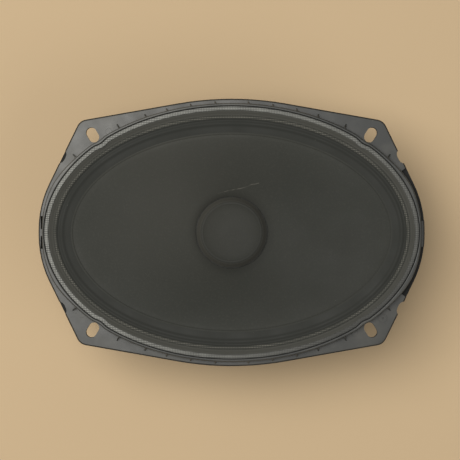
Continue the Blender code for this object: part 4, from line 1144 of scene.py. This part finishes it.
class SPEAKER_OT_voice_coil(bpy.types.Operator):
    """Build the former, its winding, its paper collar and the coil's two ends"""

    bl_idname = "speaker.voice_coil"
    bl_label = "Voice coil"

    def execute(self, context):
        low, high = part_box("voice_coil_former")
        bm = bmesh.new()
        outer, inner = 15.9 * MM, 15.6 * MM
        spin_profile(bm, [(outer, high.z), (outer, low.z), (inner, low.z), (inner, high.z)], 128)
        former = mesh_object("film_former", bm, finish_named("former_film"))
        show(former, MOVING, "former_film", "voice_coil_former")
        self.add_winding(context.scene.speaker_sizes.wire_pitch)
        self.add_joints()
        for node, slot in (
            ("former_collar", "collar_paper"),
            ("coil_wire_positive", "copper_wire"),
            ("coil_wire_negative", "copper_wire"),
        ):
            bm = merged_copy(node)
            round_edges(bm, bm.verts, 0.05 * MM, 1)
            show(mesh_object(node + "_finished", bm, finish_named(slot)), MOVING, slot, node)
        return {"FINISHED"}

    def add_winding(self, pitch):
        low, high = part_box("voice_coil_winding")
        turns = round((high.z - low.z) / pitch)
        outer = []
        for number in range(turns * 4 + 1):
            share = number / (turns * 4)
            ridge = abs(math.sin(math.pi * share * turns))
            outer.append((16.48 * MM + 0.12 * MM * ridge, low.z + (high.z - low.z) * share))
        bm = bmesh.new()
        spin_profile(bm, [(16.2 * MM, high.z), (16.2 * MM, low.z)] + outer, 96)
        winding = mesh_object("wound_wire", bm, finish_named("copper_wire"), sharp=80)
        show(winding, MOVING, "copper_wire", "voice_coil_winding")

    def add_joints(self):
        for name, side in (("positive", 1), ("negative", -1)):
            low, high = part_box(f"solder_joint_{name}")
            middle = (low + high) / 2
            place = Matrix.Translation(middle) @ Matrix.Rotation(side * math.radians(14), 4, "Z")
            bm = bmesh.new()
            shape = place @ Matrix.Diagonal((1.2 * MM, 1.35 * MM, 0.97 * MM, 1))
            bmesh.ops.create_uvsphere(bm, u_segments=36, v_segments=20, radius=1, matrix=shape)
            for vert in bm.verts:
                off = vert.co - middle
                lumps = 0.03 * math.sin(off.x / MM * 5) * math.cos(off.y / MM * 4)
                vert.co = middle + off * (1 + lumps - 0.03)
            blob = mesh_object(f"solder_blob_{name}", bm, finish_named("solder"))
            show(blob, MOVING, "solder", f"solder_joint_{name}")


class SPEAKER_OT_motor(bpy.types.Operator):
    """Build the back plate with its pole, the ring magnet and the top plate"""

    bl_idname = "speaker.motor"
    bl_label = "Motor"

    def execute(self, context):
        self.add_yoke()
        self.add_magnet()
        bm = merged_copy("top_plate")
        plate = mesh_object("top_plate_finished", bm, finish_named("plated_steel"))
        show(plate, FIXED, "plated_steel", "top_plate")
        return {"FINISHED"}

    def add_yoke(self):
        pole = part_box("yoke")[1].z
        top = 5.5 * MM
        plate_radius = 42.0 * MM
        pole_radius = 15.2 * MM
        plate = [(plate_radius, 0.0), (plate_radius, top)]
        post = [(pole_radius, top), (pole_radius, pole)]
        segments = 4
        rounded = rounded_profile([(0.0, 0.0), *plate, *post, (0.0, pole)], 0.9 * MM, segments)
        profile = metres((0.0, 0.45), (5.2, 0.45), (5.6, 0.35), (6.0, 0.0), (38.5, 0.0))
        profile += rounded[segments + 1 : -segments - 1]
        profile += [(6.0 * MM, pole), (5.5 * MM, pole - 0.5 * MM), (0.0, pole - 0.5 * MM)]
        bm = bmesh.new()
        spin_profile(bm, profile, 160)
        yoke = mesh_object("turned_yoke", bm, finish_named("plated_steel"), sharp=30)
        show(yoke, FIXED, "plated_steel", "yoke")

    def add_magnet(self):
        low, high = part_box("magnet")
        outer, inner = 45.0 * MM, 22.0 * MM
        outline = [(outer, high.z), (outer, low.z), (inner, low.z), (inner, high.z)]
        bm = bmesh.new()
        spin_profile(bm, rounded_profile(outline, 1.1 * MM, 3), 160)
        for vert in bm.verts:
            if abs(Vector(vert.co.xy).length - outer) < 1.3 * MM:
                angle = math.atan2(vert.co.y, vert.co.x)
                waves = math.sin(11 * angle + 80 * vert.co.z / MM) * math.sin(29 * angle)
                chip = 0.12 * MM * max(0.0, waves) ** 3
                vert.co.x *= 1 - chip / outer
                vert.co.y *= 1 - chip / outer
        magnet = mesh_object("ferrite_ring", bm, finish_named("ferrite"), sharp=30)
        show(magnet, FIXED, "ferrite", "magnet")


class SPEAKER_OT_screws(bpy.types.Operator):
    """Build the four motor screws with their cross recesses"""

    bl_idname = "speaker.screws"
    bl_label = "Motor screws"

    def execute(self, context):
        for number in range(1, 5):
            low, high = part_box(f"motor_screw_{number}")
            middle = (low + high) / 2
            top = high.z
            seat = top - 2.2 * MM
            crown = metres((0.0, 0.0), (1.6, 0.0), (2.9, -0.12), (3.45, -0.6), (3.75, -1.3))
            profile = [(radius, top + height) for radius, height in crown]
            profile += [(3.8 * MM, seat + 0.1 * MM), (3.7 * MM, seat), (2.0 * MM, seat)]
            profile += [(2.0 * MM, low.z + 0.4 * MM), (1.6 * MM, low.z), (0.0, low.z)]
            bm = bmesh.new()
            spin_profile(bm, profile, 40)
            bmesh.ops.translate(bm, verts=bm.verts, vec=(middle.x, middle.y, 0))
            screw = mesh_object(f"pan_head_screw_{number}", bm, finish_named("plated_steel"), sharp=30)
            self.cut_cross(screw, middle, top, number)
            show(screw, FIXED, "plated_steel", f"motor_screw_{number}")
        return {"FINISHED"}

    def cut_cross(self, screw, middle, top, number):
        for turn in (0, 90):
            bm = bmesh.new()
            shape = Matrix.Diagonal((3.6 * MM, 0.75 * MM, 2.4 * MM, 1))
            slot = bmesh.ops.create_cube(bm, size=1, matrix=shape)["verts"]
            for vert in slot:
                if vert.co.z < 0:
                    vert.co.x *= 0.35
            spin = Matrix.Rotation(math.radians(turn + 37 * number), 4, "Z")
            place = Matrix.Translation((middle.x, middle.y, top)) @ spin
            bmesh.ops.transform(bm, matrix=place, verts=bm.verts)
            cut_away(screw, bm)
        screw.data.shade_smooth()
        screw.data.set_sharp_from_angle(angle=math.radians(30))


class SPEAKER_OT_connector(bpy.types.Operator):
    """Build the connector's socket and its two blades"""

    bl_idname = "speaker.connector"
    bl_label = "Connector"

    def execute(self, context):
        bm = merged_copy("connector_socket")
        round_edges(bm, bm.verts, 0.25 * MM)
        socket = mesh_object("moulded_socket", bm, finish_named("socket_plastic"))
        show(socket, FIXED, "socket_plastic", "connector_socket")
        for name in ("positive", "negative"):
            bm = merged_copy(f"terminal_blade_{name}")
            round_edges(bm, bm.verts, 0.14 * MM)
            blade = mesh_object(f"stamped_blade_{name}", bm, finish_named("tin_plated_brass"))
            show(blade, FIXED, "tin_plated_brass", f"terminal_blade_{name}")
        return {"FINISHED"}


LEAD_ROUTE = (
    (18.2, 45.4),
    (24.0, 45.1),
    (31.0, 45.4),
    (39.0, 46.6),
    (47.0, 48.4),
    (54.5, 49.4),
    (60.5, 48.4),
    (65.9, 46.25),
)


class SPEAKER_OT_leads(bpy.types.Operator):
    """Build the two braided tinsel leads"""

    bl_idname = "speaker.leads"
    bl_label = "Tinsel leads"

    def execute(self, context):
        radius = context.scene.speaker_sizes.lead_radius
        for name, side in (("positive", 1), ("negative", -1)):
            ends = [LEAD_ROUTE[0][0], LEAD_ROUTE[-1][0]]
            spread = np.interp([x for x, _ in LEAD_ROUTE], ends, [4.6, 5.5]).tolist()
            route = [Vector((x, side * y, z)) * MM for (x, z), y in zip(LEAD_ROUTE, spread)]
            self.add_lead(name, smooth_run(route, 32), radius)
        return {"FINISHED"}

    def add_lead(self, name, path, radius):
        strands = 5
        sides = 30
        walked = [0.0]
        for before, after in zip(path, path[1:]):
            walked.append(walked[-1] + (after - before).length)

        def ring(number):
            ahead = (path[min(number + 1, len(path) - 1)] - path[max(number - 1, 0)]).normalized()
            side = ahead.cross(Vector((0, 0, 1))).normalized()
            up = side.cross(ahead)
            twist = walked[number] / (5.5 * MM) * FULL_TURN

            def place(t):
                over = abs(math.sin(0.5 * strands * t + twist))
                under = abs(math.sin(0.5 * strands * t - twist))
                reach = radius * (0.86 + 0.14 * max(over, under))
                return path[number] + reach * (math.cos(t) * side + math.sin(t) * up)

            return place

        loops = [ring(number) for number in range(len(path))]
        give = [1 - length / walked[-1] for length in walked]
        bm = skin_round(loops, np.linspace(0, FULL_TURN, sides + 1)[:-1].tolist(), give=give)
        edges = [edge for edge in bm.edges if len(edge.link_faces) == 1]
        bmesh.ops.holes_fill(bm, edges=edges, sides=0)
        lead = mesh_object(f"braided_lead_{name}", bm, finish_named("copper_wire"), sharp=60)
        show_bending(lead, "copper_wire", f"tinsel_lead_{name}")


# ---------------------------------------------------------------- stage


class SPEAKER_OT_stage(bpy.types.Operator):
    """Build the floor, the lights and the camera"""

    bl_idname = "speaker.stage"
    bl_label = "Stage"

    def execute(self, context):
        self.add_floor()
        self.add_light("key", (-0.38, 0.21, 1.25), (0.7, 0.9), 14.4, (1.0, 0.985, 0.96))
        self.add_light("fill", (1.05, -0.8, 1.2), (1.3, 1.3), 7.0, (1.0, 0.99, 0.97))
        world = bpy.data.worlds.new("studio")
        world.use_nodes = True
        world.node_tree.nodes["Background"].inputs["Color"].default_value = (1.0, 1.0, 1.0, 1.0)
        world.node_tree.nodes["Background"].inputs["Strength"].default_value = 0.26
        context.scene.world = world
        context.scene.view_settings.view_transform = "Standard"
        self.add_camera(context.scene.speaker_sizes)
        return {"FINISHED"}

    def add_floor(self):
        bm = bmesh.new()
        bmesh.ops.create_grid(bm, x_segments=8, y_segments=8, size=2.5)
        mesh_object("floor", bm, finish_named("floor_paper"), face_up=True)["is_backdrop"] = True

    def add_light(self, name, place, size, power, colour):
        data = bpy.data.lights.new(name, "AREA")
        data.shape = "RECTANGLE"
        data.size, data.size_y = size
        data.energy = power
        data.color = colour
        light = bpy.data.objects.new(name, data)
        light.location = place
        light.rotation_euler = (Vector((0, 0, 0.05)) - Vector(place)).to_track_quat("-Z", "Y").to_euler()
        bpy.context.scene.collection.objects.link(light)

    def add_camera(self, sizes):
        data = bpy.data.cameras.new("camera")
        data.sensor_width = 36
        data.lens = 36 * sizes.camera_height / sizes.view_width
        data.clip_start = 0.05
        camera = bpy.data.objects.new("camera", data)
        camera.location = (-1.0 * MM, 1.5 * MM, FLANGE_FRONT + sizes.camera_height)
        bpy.context.scene.collection.objects.link(camera)
        bpy.context.scene.camera = camera


PIECES = (
    SPEAKER_OT_basket,
    SPEAKER_OT_cone,
    SPEAKER_OT_dust_cap,
    SPEAKER_OT_surround,
    SPEAKER_OT_edge_ring,
    SPEAKER_OT_spider,
    SPEAKER_OT_voice_coil,
    SPEAKER_OT_motor,
    SPEAKER_OT_screws,
    SPEAKER_OT_connector,
    SPEAKER_OT_leads,
    SPEAKER_OT_stage,
)


class SPEAKER_PT_panel(bpy.types.Panel):
    """The speaker's sizes, colours and pieces"""

    bl_label = "Oval Car Speaker"
    bl_idname = "SPEAKER_PT_panel"
    bl_space_type = "VIEW_3D"
    bl_region_type = "UI"
    bl_category = "Speaker"

    def draw(self, context):
        for settings in (context.scene.speaker_sizes, context.scene.speaker_colours):
            box = self.layout.box()
            for name in settings.bl_rna.properties.keys():
                if name not in {"rna_type", "name"}:
                    box.prop(settings, name)
        for piece in PIECES:
            self.layout.operator(piece.bl_idname)


def register():
    for kind in (SpeakerSizes, SpeakerColours, *PIECES, SPEAKER_PT_panel):
        bpy.utils.register_class(kind)
    bpy.types.Scene.speaker_sizes = bpy.props.PointerProperty(type=SpeakerSizes)
    bpy.types.Scene.speaker_colours = bpy.props.PointerProperty(type=SpeakerColours)


def unregister():
    del bpy.types.Scene.speaker_colours
    del bpy.types.Scene.speaker_sizes
    for kind in reversed((SpeakerSizes, SpeakerColours, *PIECES, SPEAKER_PT_panel)):
        bpy.utils.unregister_class(kind)


def main():
    register()
    for piece in PIECES:
        group, name = piece.bl_idname.split(".")
        getattr(getattr(bpy.ops, group), name)()
    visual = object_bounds()
    boxes = {"cad": CAD_BOUNDS, "visual": visual}
    {name: [list(corner) for corner in box] for name, box in boxes.items()}


if __name__ == "__main__":
    main()
